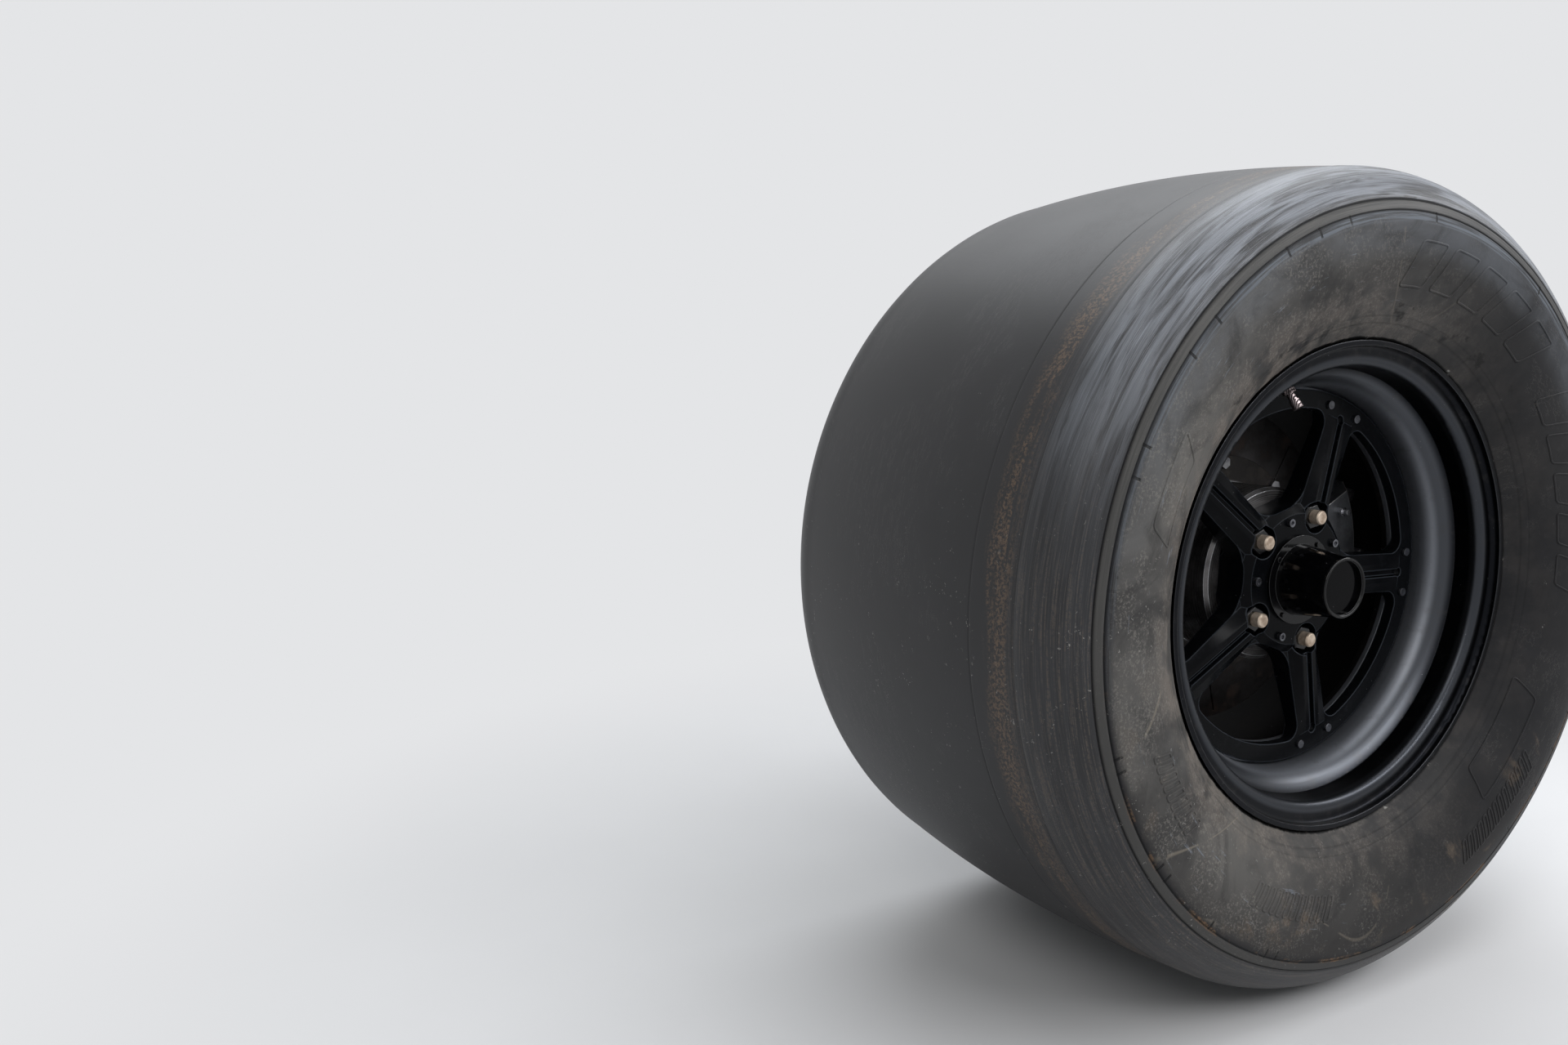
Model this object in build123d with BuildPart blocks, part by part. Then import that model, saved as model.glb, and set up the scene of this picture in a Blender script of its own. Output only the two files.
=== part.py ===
"""Rear wheel end of a sports car: a smooth tyre on a deep five-spoke wheel, with its disc
brake, and the axle shaft and plates that bolt to the end of an axle housing.

The origin is the centre of the four-bolt face that meets the housing. +Y points inboard
along the wheel's axis, -Y outboard, +X to the rear of the car and +Z up. Depths are
measured inboard from the wheel's outer lip, and depth_y turns one into a Y."""
import os
from math import asin, atan2, cos, degrees, radians, sin, sqrt, tan

from build123d import *

os.makedirs("parts", exist_ok=True)

# Gaps between pieces that touch
slip_gap = 0.05
seat_gap = 0.3

# Wheel bolt circle, and where the back of the wheel stands from the housing
lug_circle_radius = 57.15
hub_reach = 100.0

# Wheel centre
spoke_count = 5
first_spoke = 67.4
ring_depth = 62.0
ring_thickness = 10.0
ring_width = 16.0
ring_gap = 2.5
web_root_thickness = 20.0
web_tip_thickness = 13.0
web_tip_width = 4.0
web_foot_width = 4.0
spoke_half_width = 18.0
window_bite = 2.5
window_bottom_fillet = 27.0
window_corner_fillet = 12.0
pad_rise = 6.0
pad_edge = 0.85
pad_foot_width = 8.0
pad_thickness = 32.0
lug_to_bore = 21.75

# Ridges along each spoke
ridge_lead = 2.0
ridge_start_height = 9.0
ridge_end_height = 0.8
ridge_root = 1.5
crest_half_width = 8.6
crest_round = 1.8
groove_half_width = 3.6
groove_floor_half_width = 2.4
groove_depth = 4.6
dimple_radius = 4.4
dimple_inset = 3.0
cutter_reach = 1.0

# Wheel studs and nuts
stud_radius = 6.35
stud_reach = 6.5
stud_chamfer = 1.2
stud_hole_gap = 0.85
stud_head_radius = 9.0
stud_head_height = 3.0
pocket_radius = 14.5
pocket_depth = 20.0
nut_across_flats = 20.6
nut_height = 17.5
washer_gap = 1.5
washer_thickness = 2.0

# Small screws and ring bolts
ring_bolt_inset = 10.0
ring_bolt_offset = 7.0
ring_bolt_radius = 2.6
ring_bolt_head_radius = 3.7
ring_bolt_head_height = 2.2
hub_screw_inset = 4.65
hub_screw_radius = 3.6
hub_screw_height = 3.2
cap_screw_count = 4
cap_screw_angle = 54.0
cap_screw_inset = 3.6
cap_screw_radius = 2.2
cap_screw_height = 1.6

# Centre cap
cap_flange_overlap = 3.8
cap_flange_width = 7.7
cap_flange_thickness = 3.0
cap_length = 48.6
cap_taper = 5.2
cap_wall = 2.4
cap_bead = 1.4
plug_recess = 3.5
plug_thickness = 2.5

# Rim
barrel_wall = 4.5
barrel_gap = 18.1
seat_taper = 1.5
well_drop = 17.6
well_lead = 16.0
well_tail = 15.0
well_slope = 12.0
well_round = 5.0
dish_round = 20.0
seat_round = 9.0
bead_width = 305.0
bead_depth = 12.0
bead_length = 22.0
flange_height = 17.4
flange_roll = 9.0
heel_fillet = 2.0
joint_flange = 5.0
weld_overlap = 1.0

# Tyre
section_height = 165.5
bulge_rise = 105.9
tyre_bulge = 34.0
shoulder_drop = 8.6
shoulder_inset = 18.0
tread_thickness = 10.0
side_thickness = 6.0
bead_height = 17.0
filler_height = 60.0
filler_inset = 17.0
corner_reach = 30.0
corner_inset = 13.0
heel_chamfer = 1.2

# Valve stem and balance weight
valve_angle = 102.0
valve_lean = 30.0
valve_nut_radius = 5.6
valve_nut_height = 4.0
valve_stem_radius = 3.4
valve_length = 16.0
valve_head_radius = 5.0
valve_head_height = 3.0
valve_cap_radius = 4.4
valve_cap_length = 8.0
valve_cap_top = 2.4
weight_height = 3.0
weight_width = 18.0
weight_lead = 4.0
weight_half_angle = 4.0

# Brake disc and hat
hat_gap = 2.0
hat_wall = 6.0
hat_thickness = 8.0
hat_flange_width = 24.0
hat_flange_thickness = 7.0
disc_gap = 6.0
disc_thickness = 22.0
disc_plate_thickness = 7.0
disc_ring_width = 46.0
disc_inner_width = 11.0
disc_back_gap = 4.0
vane_count = 30
vane_thickness = 4.0
slot_count = 8
slot_width = 2.4
slot_depth = 1.2
slot_lean = 12.0
slot_margin = 4.0
disc_bolt_inset = 6.0
disc_bolt_count = 8
disc_bolt_radius = 3.9
disc_bolt_head_height = 4.5
disc_bolt_head_radius = 6.0
disc_nut_height = 4.0

# Caliper and pads
caliper_angle = 0.0
caliper_half_angle = 25.0
caliper_gap = 2.0
caliper_reach = 18.0
caliper_thickness = 22.0
caliper_round = 7.0
caliper_bevel = 20.0
disc_clearance = 5.5
bridge_half_angle = 14.0
bridge_inset = 1.0
bridge_side_angle = 1.0
pad_half_angle = 17.0
pad_inset = 2.0
pad_overhang = 1.0
friction_thickness = 10.0
backing_thickness = 5.0
piston_radius = 17.5
piston_half_angle = 9.0
piston_reach = 3.0
piston_end_gap = 1.0
piston_bore_depth = 12.0
bridge_bolt_radius = 4.0
bridge_bolt_inset = 6.5
bridge_bolt_angle = 20.0
bridge_bolt_head_radius = 6.4
bridge_bolt_head_height = 6.4
pin_radius = 2.5
pin_inset = 9.0
pin_tab_half_angle = 4.0
ear_angle = 32.0
ear_inset = 38.0
ear_round = 12.0
ear_root_angle = 2.0
ear_thickness = 13.0
ear_bolt_radius = 4.9
ear_bolt_head_radius = 8.0
ear_bolt_head_height = 6.0
bleeder_angle = 19.0
bleeder_inset = 36.0
bleeder_radius = 4.6
bleeder_height = 5.0
bleeder_tip_radius = 2.8
bleeder_tip_height = 5.0
inlet_inset = 31.0
inlet_radius = 8.0
inlet_height = 6.0
inlet_neck_radius = 5.0
inlet_neck_height = 5.0

# Plates that bolt to the housing
plate_thickness = 10.0
plate_edge = 12.8
mount_gap = 4.5953
mount_angle = 29.745
mount_hole_radius = 6.6
arm_thickness = 8.0
arm_tip_radius = 13.0
arm_root_radius = 24.0
arm_root_inset = 26.0
retainer_thickness = 6.5
retainer_corner_radius = 13.0
retainer_edge = 6.5
retainer_gap = 3.0

# Axle and bearing
flange_thickness = 10.0
flange_edge = 12.85
flange_hole_radius = 9.0
flange_hole_inset = 9.15
pilot_clearance = 0.2
pilot_length = 16.0
pilot_chamfer = 2.0
boss_radius = 33.0
boss_length = 10.0
boss_taper = 16.0
journal_radius = 20.0
journal_step = 4.5
bearing_radius = 40.0
bearing_width = 28.0
bearing_step = 0.5
race_wall = 5.5
inner_race_wall = 7.0
shield_thickness = 1.5
shield_inset = 2.0
running_clearance = 0.05
collar_wall = 8.0
collar_width = 13.0
collar_chamfer = 2.0
shaft_radius = 16.0
shaft_taper = 12.0
shaft_reach = 590.0
spline_length = 60.0
spline_teeth = 31
spline_root_radius = 15.3
spline_height = 1.5
spline_overlap = 0.5
spline_root_share = 0.625
spline_tip_share = 0.333
spline_chamfer = 2.0

# Depths that follow from the sizes
ring_face = ring_depth
outer_joint = ring_face + ring_thickness
inner_joint = outer_joint + joint_flange
ring_bolt_end = inner_joint + joint_flange
pad_face = ring_face - pad_rise
pad_back = pad_face + pad_thickness
pocket_floor = pad_face + pocket_depth
nut_end = pocket_floor - nut_height
stud_end = pad_face - stud_reach
cap_end = pad_face - cap_length
well_start = ring_face - well_lead
well_end = inner_joint + well_tail
weight_depth = well_end + well_slope + weight_lead
rim_middle = bead_depth + bead_width / 2
inner_lip = bead_depth * 2 + bead_width
lip_to_mount = pad_back + hub_reach
plate_front = lip_to_mount - plate_thickness
bearing_end = plate_front + bearing_width
collar_end = bearing_end + collar_width
shaft_end = lip_to_mount + shaft_reach
axle_face = pad_back + hat_thickness
flange_back = axle_face + flange_thickness
disc_back = plate_front - disc_gap
disc_face = disc_back - disc_thickness
disc_middle = disc_face + disc_thickness / 2
hat_flange_front = disc_face - hat_flange_thickness

# Radii that follow from the sizes, from the hub outwards
bore_radius = lug_circle_radius - lug_to_bore
hub_screw_circle_radius = lug_circle_radius - hub_screw_inset
flange_hole_circle_radius = lug_circle_radius - flange_hole_inset
pad_radius = lug_circle_radius + pad_edge
pad_foot_radius = pad_radius + pad_foot_width
window_bottom_radius = pad_foot_radius - window_bite
ridge_start_radius = pad_radius + ridge_lead
stud_hole_radius = stud_radius + stud_hole_gap
washer_radius = pocket_radius - washer_gap
cap_flange_radius = bore_radius + cap_flange_overlap
cap_screw_circle_radius = cap_flange_radius - cap_screw_inset
cap_base_radius = cap_flange_radius - cap_flange_width
cap_end_radius = cap_base_radius - cap_taper
flange_radius = lug_circle_radius + flange_edge
hat_radius = flange_radius + hat_gap + hat_wall
hat_flange_radius = hat_radius + hat_flange_width
disc_bolt_circle_radius = hat_flange_radius - disc_bolt_inset
disc_inner_radius = hat_radius + disc_inner_width
disc_back_inner_radius = hat_flange_radius + disc_back_gap
disc_radius = hat_flange_radius + disc_ring_width
caliper_inner_radius = hat_flange_radius + caliper_gap
caliper_outer_radius = disc_radius + caliper_reach
pad_inner_radius = caliper_inner_radius + pad_inset
pad_outer_radius = disc_radius - pad_overhang
piston_circle_radius = (pad_inner_radius + pad_outer_radius) / 2 - pad_overhang / 2
bridge_bolt_circle_radius = caliper_outer_radius - bridge_bolt_inset
pin_circle_radius = caliper_outer_radius - pin_inset
inlet_circle_radius = caliper_outer_radius - inlet_inset
bleeder_circle_radius = caliper_outer_radius - bleeder_inset
ear_circle_radius = caliper_outer_radius - ear_inset
seat_radius = caliper_outer_radius + barrel_gap + barrel_wall + seat_taper
lip_radius = seat_radius + flange_height
well_radius = seat_radius - well_drop
barrel_inside = well_radius - barrel_wall
centre_radius = barrel_inside - ring_gap
ring_inner_radius = centre_radius - ring_width
ring_bolt_circle_radius = centre_radius - ring_bolt_inset
dimple_circle_radius = ring_inner_radius - dimple_inset
tyre_radius = seat_radius + section_height
bulge_radius = seat_radius + bulge_rise
shoulder_radius = tyre_radius - shoulder_drop
mount_circle_radius = bearing_radius + mount_gap + mount_hole_radius
plate_radius = mount_circle_radius + plate_edge
arm_root_circle_radius = plate_radius - arm_root_inset
inner_race_radius = journal_radius + inner_race_wall
retainer_bore_radius = inner_race_radius + retainer_gap
collar_radius = journal_radius + collar_wall
shoulder_shaft_radius = journal_radius + journal_step
spline_outer_radius = spline_root_radius + spline_height

# Angles around the wheel
window_half_angle = 180 / spoke_count
spoke_angles = [first_spoke + 2 * window_half_angle * index for index in range(spoke_count)]
between_spokes = [angle + window_half_angle for angle in spoke_angles]
ring_bolt_angles = [
    angle + side * ring_bolt_offset for angle in spoke_angles for side in (-1, 1)
]
mount_angles = (mount_angle, 180 - mount_angle, 180 + mount_angle, -mount_angle)


def depth_y(depth):
    """Y of a place that lies a given depth inboard of the wheel's outer lip."""
    return depth - lip_to_mount


def across(depth):
    """Plane square to the axle at a depth, facing outboard, with its x to the rear and y up."""
    return Plane(origin=(0, depth_y(depth), 0), x_dir=(1, 0, 0), z_dir=(0, -1, 0))


def outward(angle, radius, depth, lean=0):
    """Plane square to a line that runs out from the axle and leans inboard, x along the turn."""
    turn, tilt = radians(angle), radians(lean)
    middle = (radius * cos(turn), depth_y(depth), radius * sin(turn))
    away = (cos(tilt) * cos(turn), sin(tilt), cos(tilt) * sin(turn))
    return Plane(origin=middle, x_dir=(-sin(turn), 0, cos(turn)), z_dir=away)


def polar(radius, angle):
    """Point of a plane across the axle, from its radius and its angle in degrees."""
    return (radius * cos(radians(angle)), radius * sin(radians(angle)))


def section(*points):
    """Points of a section through the axis, from pairs of radius and depth."""
    return [(radius, depth_y(depth)) for radius, depth in points]


def around(radius, angles):
    """Points of a plane across the axle, on one circle at each of the angles."""
    return [polar(radius, angle) for angle in angles]


def sector(inner, outer, middle, half):
    """Face between two radii, a half angle each side of its middle, in the open sketch."""
    with BuildLine() as outline:
        CenterArc((0, 0), outer, middle - half, 2 * half)
        Line(polar(outer, middle + half), polar(inner, middle + half))
        CenterArc((0, 0), inner, middle - half, 2 * half)
        Line(polar(inner, middle - half), polar(outer, middle - half))
    make_face(outline.edges())


# Smooth tyre, hollow, seated on both beads of the rim
bead_heel = seat_radius + seat_gap
roll_centre = lip_radius - flange_roll
roll_depth = bead_depth - flange_roll
roll_clear = flange_roll + seat_gap
with BuildPart() as tyre:
    with BuildSketch(Plane.XY):
        with BuildLine():
            heel_side, heel, toe, wall_foot, roll_foot, roll_middle, lip_foot = section(
                (bead_heel + heel_chamfer, bead_depth + seat_gap),
                (bead_heel, bead_depth + seat_gap + heel_chamfer),
                (bead_heel, bead_depth + bead_length),
                (bead_heel + bead_height, bead_depth + side_thickness),
                (roll_centre, roll_depth + roll_clear),
                (roll_centre + roll_clear * sqrt(0.5), roll_depth + roll_clear * sqrt(0.5)),
                (roll_centre + roll_clear, roll_depth),
            )
            bulge, shoulder, tread = section(
                (bulge_radius, -tyre_bulge),
                (shoulder_radius, shoulder_inset),
                (tyre_radius, rim_middle),
            )
            filler_top, inner_bulge, inner_corner, inner_shoulder, inner_tread = section(
                (seat_radius + filler_height, -filler_inset),
                (bulge_radius, side_thickness - tyre_bulge),
                (bulge_radius + corner_reach, -corner_inset),
                (shoulder_radius - tread_thickness, shoulder_inset + side_thickness),
                (tyre_radius - tread_thickness, rim_middle),
            )
            Polyline(inner_tread, inner_shoulder, inner_corner, inner_bulge, filler_top, wall_foot)
            Polyline(wall_foot, toe, heel, heel_side, roll_foot)
            ThreePointArc(roll_foot, roll_middle, lip_foot)
            TangentArc(bulge, lip_foot, tangent=(-1, 0))
            TangentArc(bulge, shoulder, tangent=(1, 0))
            TangentArc(tread, shoulder, tangent=(0, -1))
            Line(tread, inner_tread)
        make_face()
        mirror(about=Plane.XZ.offset(-depth_y(rim_middle)))
    revolve(axis=Axis.Y)
tyre.part.label = "tyre"

# How far the bolted flanges of both rim halves reach out into the barrel
flange_reach = well_radius - ring_inner_radius - weld_overlap

# Middle of the long round between the dish and the well, on the tyre's side of the wall
dish_slope = atan2(well_drop - seat_taper, well_start - bead_depth - bead_length)
round_radius = well_radius + dish_round
round_depth = well_start + dish_round * tan(dish_slope / 2)


def valve_plane(height):
    """Plane square to the valve, at a height above the face of the round that shows."""
    back = dish_round + barrel_wall - height
    radius = round_radius - back * cos(radians(valve_lean))
    depth = round_depth - back * sin(radians(valve_lean))
    return outward(valve_angle, radius, depth, valve_lean)



# Outer half of the rim, the deep dish that shows, from the rolled lip to its bolted flange
with BuildPart() as rim_outer:
    with BuildSketch(Plane.XY):
        with BuildLine():
            FilletPolyline(
                *section(
                    (lip_radius, 0.0),
                    (lip_radius, bead_depth),
                    (seat_radius, bead_depth),
                    (seat_radius - seat_taper, bead_depth + bead_length),
                    (well_radius, well_start),
                    (well_radius, inner_joint),
                ),
                radius=(flange_roll, heel_fillet, well_round, dish_round),
            )
            offset(amount=barrel_wall, side=Side.LEFT)
        make_face()
        with Locations(section((ring_inner_radius, outer_joint))[0]):
            Rectangle(flange_reach, joint_flange, align=(Align.MIN, Align.MIN))
    revolve(axis=Axis.Y)
    with BuildSketch(across(inner_joint)):
        with Locations(*around(ring_bolt_circle_radius, ring_bolt_angles)):
            Circle(ring_bolt_radius + slip_gap)
    extrude(amount=joint_flange, mode=Mode.SUBTRACT)
    with BuildSketch(valve_plane(-barrel_wall)):
        Circle(valve_stem_radius + slip_gap)
    extrude(amount=3 * barrel_wall, mode=Mode.SUBTRACT)
rim_outer.part.label = "rim_outer"

# Inner half of the rim, from its bolted flange over the brake to the inner lip
with BuildPart() as rim_inner:
    with BuildSketch(Plane.XY):
        with BuildLine():
            FilletPolyline(
                *section(
                    (well_radius, inner_joint),
                    (well_radius, well_end),
                    (seat_radius - seat_taper, well_end + well_slope),
                    (seat_radius - seat_taper, inner_lip - bead_depth - bead_length),
                    (seat_radius, inner_lip - bead_depth),
                    (lip_radius, inner_lip - bead_depth),
                    (lip_radius, inner_lip),
                ),
                radius=(well_round, well_round, seat_round, heel_fillet, flange_roll),
            )
            offset(amount=barrel_wall, side=Side.LEFT)
        make_face()
        with Locations(section((ring_inner_radius, inner_joint))[0]):
            Rectangle(flange_reach, joint_flange, align=(Align.MIN, Align.MIN))
    revolve(axis=Axis.Y)
    with BuildSketch(across(ring_bolt_end)):
        with Locations(*around(ring_bolt_circle_radius, ring_bolt_angles)):
            Circle(ring_bolt_radius + slip_gap)
    extrude(amount=joint_flange, mode=Mode.SUBTRACT)
rim_inner.part.label = "rim_inner"

# One window of the wheel centre, drawn with its middle along x
half_turn = radians(window_half_angle)
corner_angle = window_half_angle - degrees(asin(spoke_half_width / ring_inner_radius))
foot_half = window_bottom_radius * tan(half_turn) - spoke_half_width / cos(half_turn)
with BuildSketch(Plane.XY) as window:
    with BuildLine():
        Polyline(
            polar(ring_inner_radius, corner_angle),
            (window_bottom_radius, foot_half),
            (window_bottom_radius, -foot_half),
            polar(ring_inner_radius, -corner_angle),
        )
        CenterArc((0, 0), ring_inner_radius, -corner_angle, 2 * corner_angle)
    make_face()
    fillet(window.vertices().sort_by(Axis.X)[:2], window_bottom_fillet)
    fillet(window.vertices().sort_by(Axis.X)[-2:], window_corner_fillet)

# Radius and height of the two ends of each ridge
ridge_ends = (
    (ridge_start_radius, ridge_start_height),
    (dimple_circle_radius, ridge_end_height),
)

# Five-spoke centre: a turned profile with windows, two ridges and a groove along each
# spoke, a pocket for each nut and the rim's bolt holes
with BuildPart() as wheel_centre:
    with BuildSketch(Plane.XY):
        Polygon(
            *section(
                (bore_radius, pad_face),
                (pad_radius, pad_face),
                (pad_foot_radius, ring_face),
                (centre_radius, ring_face),
                (centre_radius, outer_joint),
                (ring_inner_radius, outer_joint),
                (ring_inner_radius - web_tip_width, ring_face + web_tip_thickness),
                (pad_foot_radius + web_foot_width, ring_face + web_root_thickness),
                (pad_foot_radius, pad_back),
                (bore_radius, pad_back),
            ),
            align=None,
        )
    revolve(axis=Axis.Y)
    with BuildSketch(across(pad_back)):
        with PolarLocations(0, spoke_count, start_angle=between_spokes[0]):
            add(window.sketch)
    extrude(amount=pad_back - pad_face + ridge_start_height, mode=Mode.SUBTRACT)
    for angle in spoke_angles:
        for radius, height in ridge_ends:
            with BuildSketch(outward(angle, radius, ring_face)) as ridge:
                Polygon(
                    (-spoke_half_width, -ridge_root),
                    (spoke_half_width, -ridge_root),
                    (spoke_half_width, 0),
                    (crest_half_width, height),
                    (-crest_half_width, height),
                    (-spoke_half_width, 0),
                    align=None,
                )
                fillet(ridge.vertices().group_by(Axis.Y)[-1], crest_round)
        loft(ruled=True)
    for angle in spoke_angles:
        for radius, height in ridge_ends:
            with BuildSketch(outward(angle, radius, ring_face)):
                Polygon(
                    (-groove_floor_half_width, height - groove_depth),
                    (groove_floor_half_width, height - groove_depth),
                    (groove_half_width, height + cutter_reach),
                    (-groove_half_width, height + cutter_reach),
                    align=None,
                )
        loft(ruled=True, mode=Mode.SUBTRACT)
    with Locations(across(ring_face)):
        with PolarLocations(dimple_circle_radius, spoke_count, start_angle=first_spoke):
            Sphere(dimple_radius, mode=Mode.SUBTRACT)
    with BuildSketch(across(pocket_floor)):
        with PolarLocations(lug_circle_radius, spoke_count, start_angle=first_spoke):
            Circle(pocket_radius)
    extrude(amount=pocket_floor - pad_face + ridge_start_height, mode=Mode.SUBTRACT)
    with BuildSketch(across(pad_back)):
        with PolarLocations(lug_circle_radius, spoke_count, start_angle=first_spoke):
            Circle(stud_hole_radius)
    extrude(amount=pad_back - pocket_floor, mode=Mode.SUBTRACT)
    with BuildSketch(across(outer_joint)):
        with Locations(*around(ring_bolt_circle_radius, ring_bolt_angles)):
            Circle(ring_bolt_radius + slip_gap)
    extrude(amount=ring_thickness, mode=Mode.SUBTRACT)
wheel_centre.part.label = "wheel_centre"

# Bolts that clamp the centre between the two halves of the rim, with hexagon nuts behind
with BuildPart() as ring_bolts:
    for depth, length, radius in (
        (ring_face, ring_bolt_head_height, ring_bolt_head_radius),
        (ring_bolt_end, ring_bolt_end - ring_face, ring_bolt_radius),
    ):
        with BuildSketch(across(depth)):
            with Locations(*around(ring_bolt_circle_radius, ring_bolt_angles)):
                Circle(radius)
        extrude(amount=length)
    with BuildSketch(across(ring_bolt_end + ring_bolt_head_height)):
        with Locations(*around(ring_bolt_circle_radius, ring_bolt_angles)):
            RegularPolygon(ring_bolt_head_radius, 6)
    extrude(amount=ring_bolt_head_height)
ring_bolts.part.label = "ring_bolts"

# Studs pressed through the axle flange
with BuildPart() as wheel_studs:
    with BuildSketch(across(flange_back)):
        with PolarLocations(lug_circle_radius, spoke_count, start_angle=first_spoke):
            Circle(stud_radius)
    extrude(amount=flange_back - stud_end)
    chamfer(wheel_studs.faces().sort_by(Axis.Y)[:spoke_count].edges(), stud_chamfer)
    with BuildSketch(across(flange_back + stud_head_height)):
        with PolarLocations(lug_circle_radius, spoke_count, start_angle=first_spoke):
            Circle(stud_head_radius)
    extrude(amount=stud_head_height)
wheel_studs.part.label = "wheel_studs"

# Open-ended nuts, each on its own washer
with BuildPart() as lug_nuts:
    with BuildSketch(across(pocket_floor)):
        with PolarLocations(lug_circle_radius, spoke_count, start_angle=first_spoke):
            Circle(washer_radius)
    extrude(amount=washer_thickness)
    with BuildSketch(across(pocket_floor - washer_thickness)):
        with PolarLocations(lug_circle_radius, spoke_count, start_angle=first_spoke):
            RegularPolygon(nut_across_flats / 2, 6, major_radius=False)
    extrude(amount=pocket_floor - washer_thickness - nut_end)
    chamfer(lug_nuts.faces().sort_by(Axis.Y)[:spoke_count].edges(), stud_chamfer)
    with BuildSketch(across(pocket_floor)):
        with PolarLocations(lug_circle_radius, spoke_count, start_angle=first_spoke):
            Circle(stud_radius + slip_gap)
    extrude(amount=pocket_floor - nut_end, mode=Mode.SUBTRACT)
lug_nuts.part.label = "lug_nuts"

# Small socket screws on the pad, one between each pair of nuts
with BuildPart() as hub_screws:
    for depth, length, radius, mode in (
        (pad_face, hub_screw_height, hub_screw_radius, Mode.ADD),
        (pad_face - hub_screw_height / 2, hub_screw_height, hub_screw_radius / 2, Mode.SUBTRACT),
    ):
        with BuildSketch(across(depth)):
            with PolarLocations(hub_screw_circle_radius, spoke_count, start_angle=between_spokes[0]):
                Circle(radius)
        extrude(amount=length, mode=mode)
hub_screws.part.label = "hub_screws"

# Centre cap: a long tapered tube on a round flange, with a bead around its open end
cap_tube_end = cap_end_radius - cap_bead / 2
cap_inside = cap_tube_end - cap_wall
with BuildPart() as hub_cap:
    with BuildSketch(Plane.XY):
        Polygon(
            *section(
                (cap_base_radius - cap_wall, pad_face),
                (cap_flange_radius, pad_face),
                (cap_flange_radius, pad_face - cap_flange_thickness),
                (cap_base_radius, pad_face - cap_flange_thickness),
                (cap_tube_end, cap_end + cap_bead),
                (cap_inside, cap_end + cap_bead),
                (cap_inside, cap_end + cap_bead + plug_recess + plug_thickness),
            ),
            align=None,
        )
        with Locations(section((cap_end_radius - cap_bead, cap_end + cap_bead))[0]):
            Circle(cap_bead)
    revolve(axis=Axis.Y)
hub_cap.part.label = "hub_cap"

# Bare disc set back in the end of the cap
with BuildPart() as cap_plug:
    with BuildSketch(across(cap_end + cap_bead + plug_recess + plug_thickness)):
        Circle(cap_inside - slip_gap)
    extrude(amount=plug_thickness)
cap_plug.part.label = "cap_plug"

# Screws around the flange of the cap
with BuildPart() as cap_screws:
    with BuildSketch(across(pad_face - cap_flange_thickness)):
        with PolarLocations(cap_screw_circle_radius, cap_screw_count, start_angle=cap_screw_angle):
            Circle(cap_screw_radius)
    extrude(amount=cap_screw_height)
cap_screws.part.label = "cap_screws"

# Valve stem clamped through the round of the rim, with its nut inside and its head outside
valve_bend = round_radius / cos(radians(valve_lean)) - dish_round - barrel_wall
nut_seat = sqrt(valve_bend**2 - valve_nut_radius**2) - valve_bend - slip_gap
head_seat = barrel_wall + dish_round - sqrt(dish_round**2 - valve_head_radius**2) + slip_gap
with BuildPart() as valve_stem:
    with BuildSketch(valve_plane(-valve_length)):
        Circle(valve_stem_radius)
    extrude(amount=valve_length + head_seat)
    with BuildSketch(valve_plane(nut_seat - valve_nut_height)):
        RegularPolygon(valve_nut_radius, 6)
    extrude(amount=valve_nut_height)
    with BuildSketch(valve_plane(head_seat)):
        Circle(valve_head_radius)
    extrude(amount=valve_head_height)
valve_stem.part.label = "valve_stem"

# Cap screwed over the end of the valve stem
with BuildPart() as valve_cap:
    with BuildSketch(valve_plane(-valve_length - valve_cap_top)):
        Circle(valve_cap_radius)
    extrude(amount=valve_cap_length)
    with BuildSketch(valve_plane(-valve_length)):
        Circle(valve_stem_radius + slip_gap)
    extrude(amount=valve_cap_length, mode=Mode.SUBTRACT)
valve_cap.part.label = "valve_cap"

# Balance weight stuck inside the barrel, opposite the valve
weight_outer = seat_radius - seat_taper - barrel_wall - slip_gap
with BuildPart() as balance_weight:
    with BuildSketch(across(weight_depth + weight_width)):
        sector(weight_outer - weight_height, weight_outer, valve_angle + 180, weight_half_angle)
    extrude(amount=weight_width)
balance_weight.part.label = "balance_weight"

# Hat that carries the brake disc and lies between the wheel and the axle flange
with BuildPart() as disc_hat:
    with BuildSketch(Plane.XY):
        Polygon(
            *section(
                (bore_radius, pad_back),
                (hat_radius - hat_wall / 2, pad_back),
                (hat_radius, pad_back + hat_wall / 2),
                (hat_radius, hat_flange_front),
                (hat_flange_radius, hat_flange_front),
                (hat_flange_radius, disc_face),
                (hat_radius - hat_wall, disc_face),
                (hat_radius - hat_wall, axle_face),
                (bore_radius, axle_face),
            ),
            align=None,
        )
    revolve(axis=Axis.Y)
    with BuildSketch(across(axle_face)):
        with PolarLocations(lug_circle_radius, spoke_count, start_angle=first_spoke):
            Circle(stud_hole_radius)
    extrude(amount=hat_thickness, mode=Mode.SUBTRACT)
    with BuildSketch(across(disc_face)):
        with PolarLocations(disc_bolt_circle_radius, disc_bolt_count):
            Circle(disc_bolt_radius + slip_gap)
    extrude(amount=hat_flange_thickness, mode=Mode.SUBTRACT)
disc_hat.part.label = "disc_hat"

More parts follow.
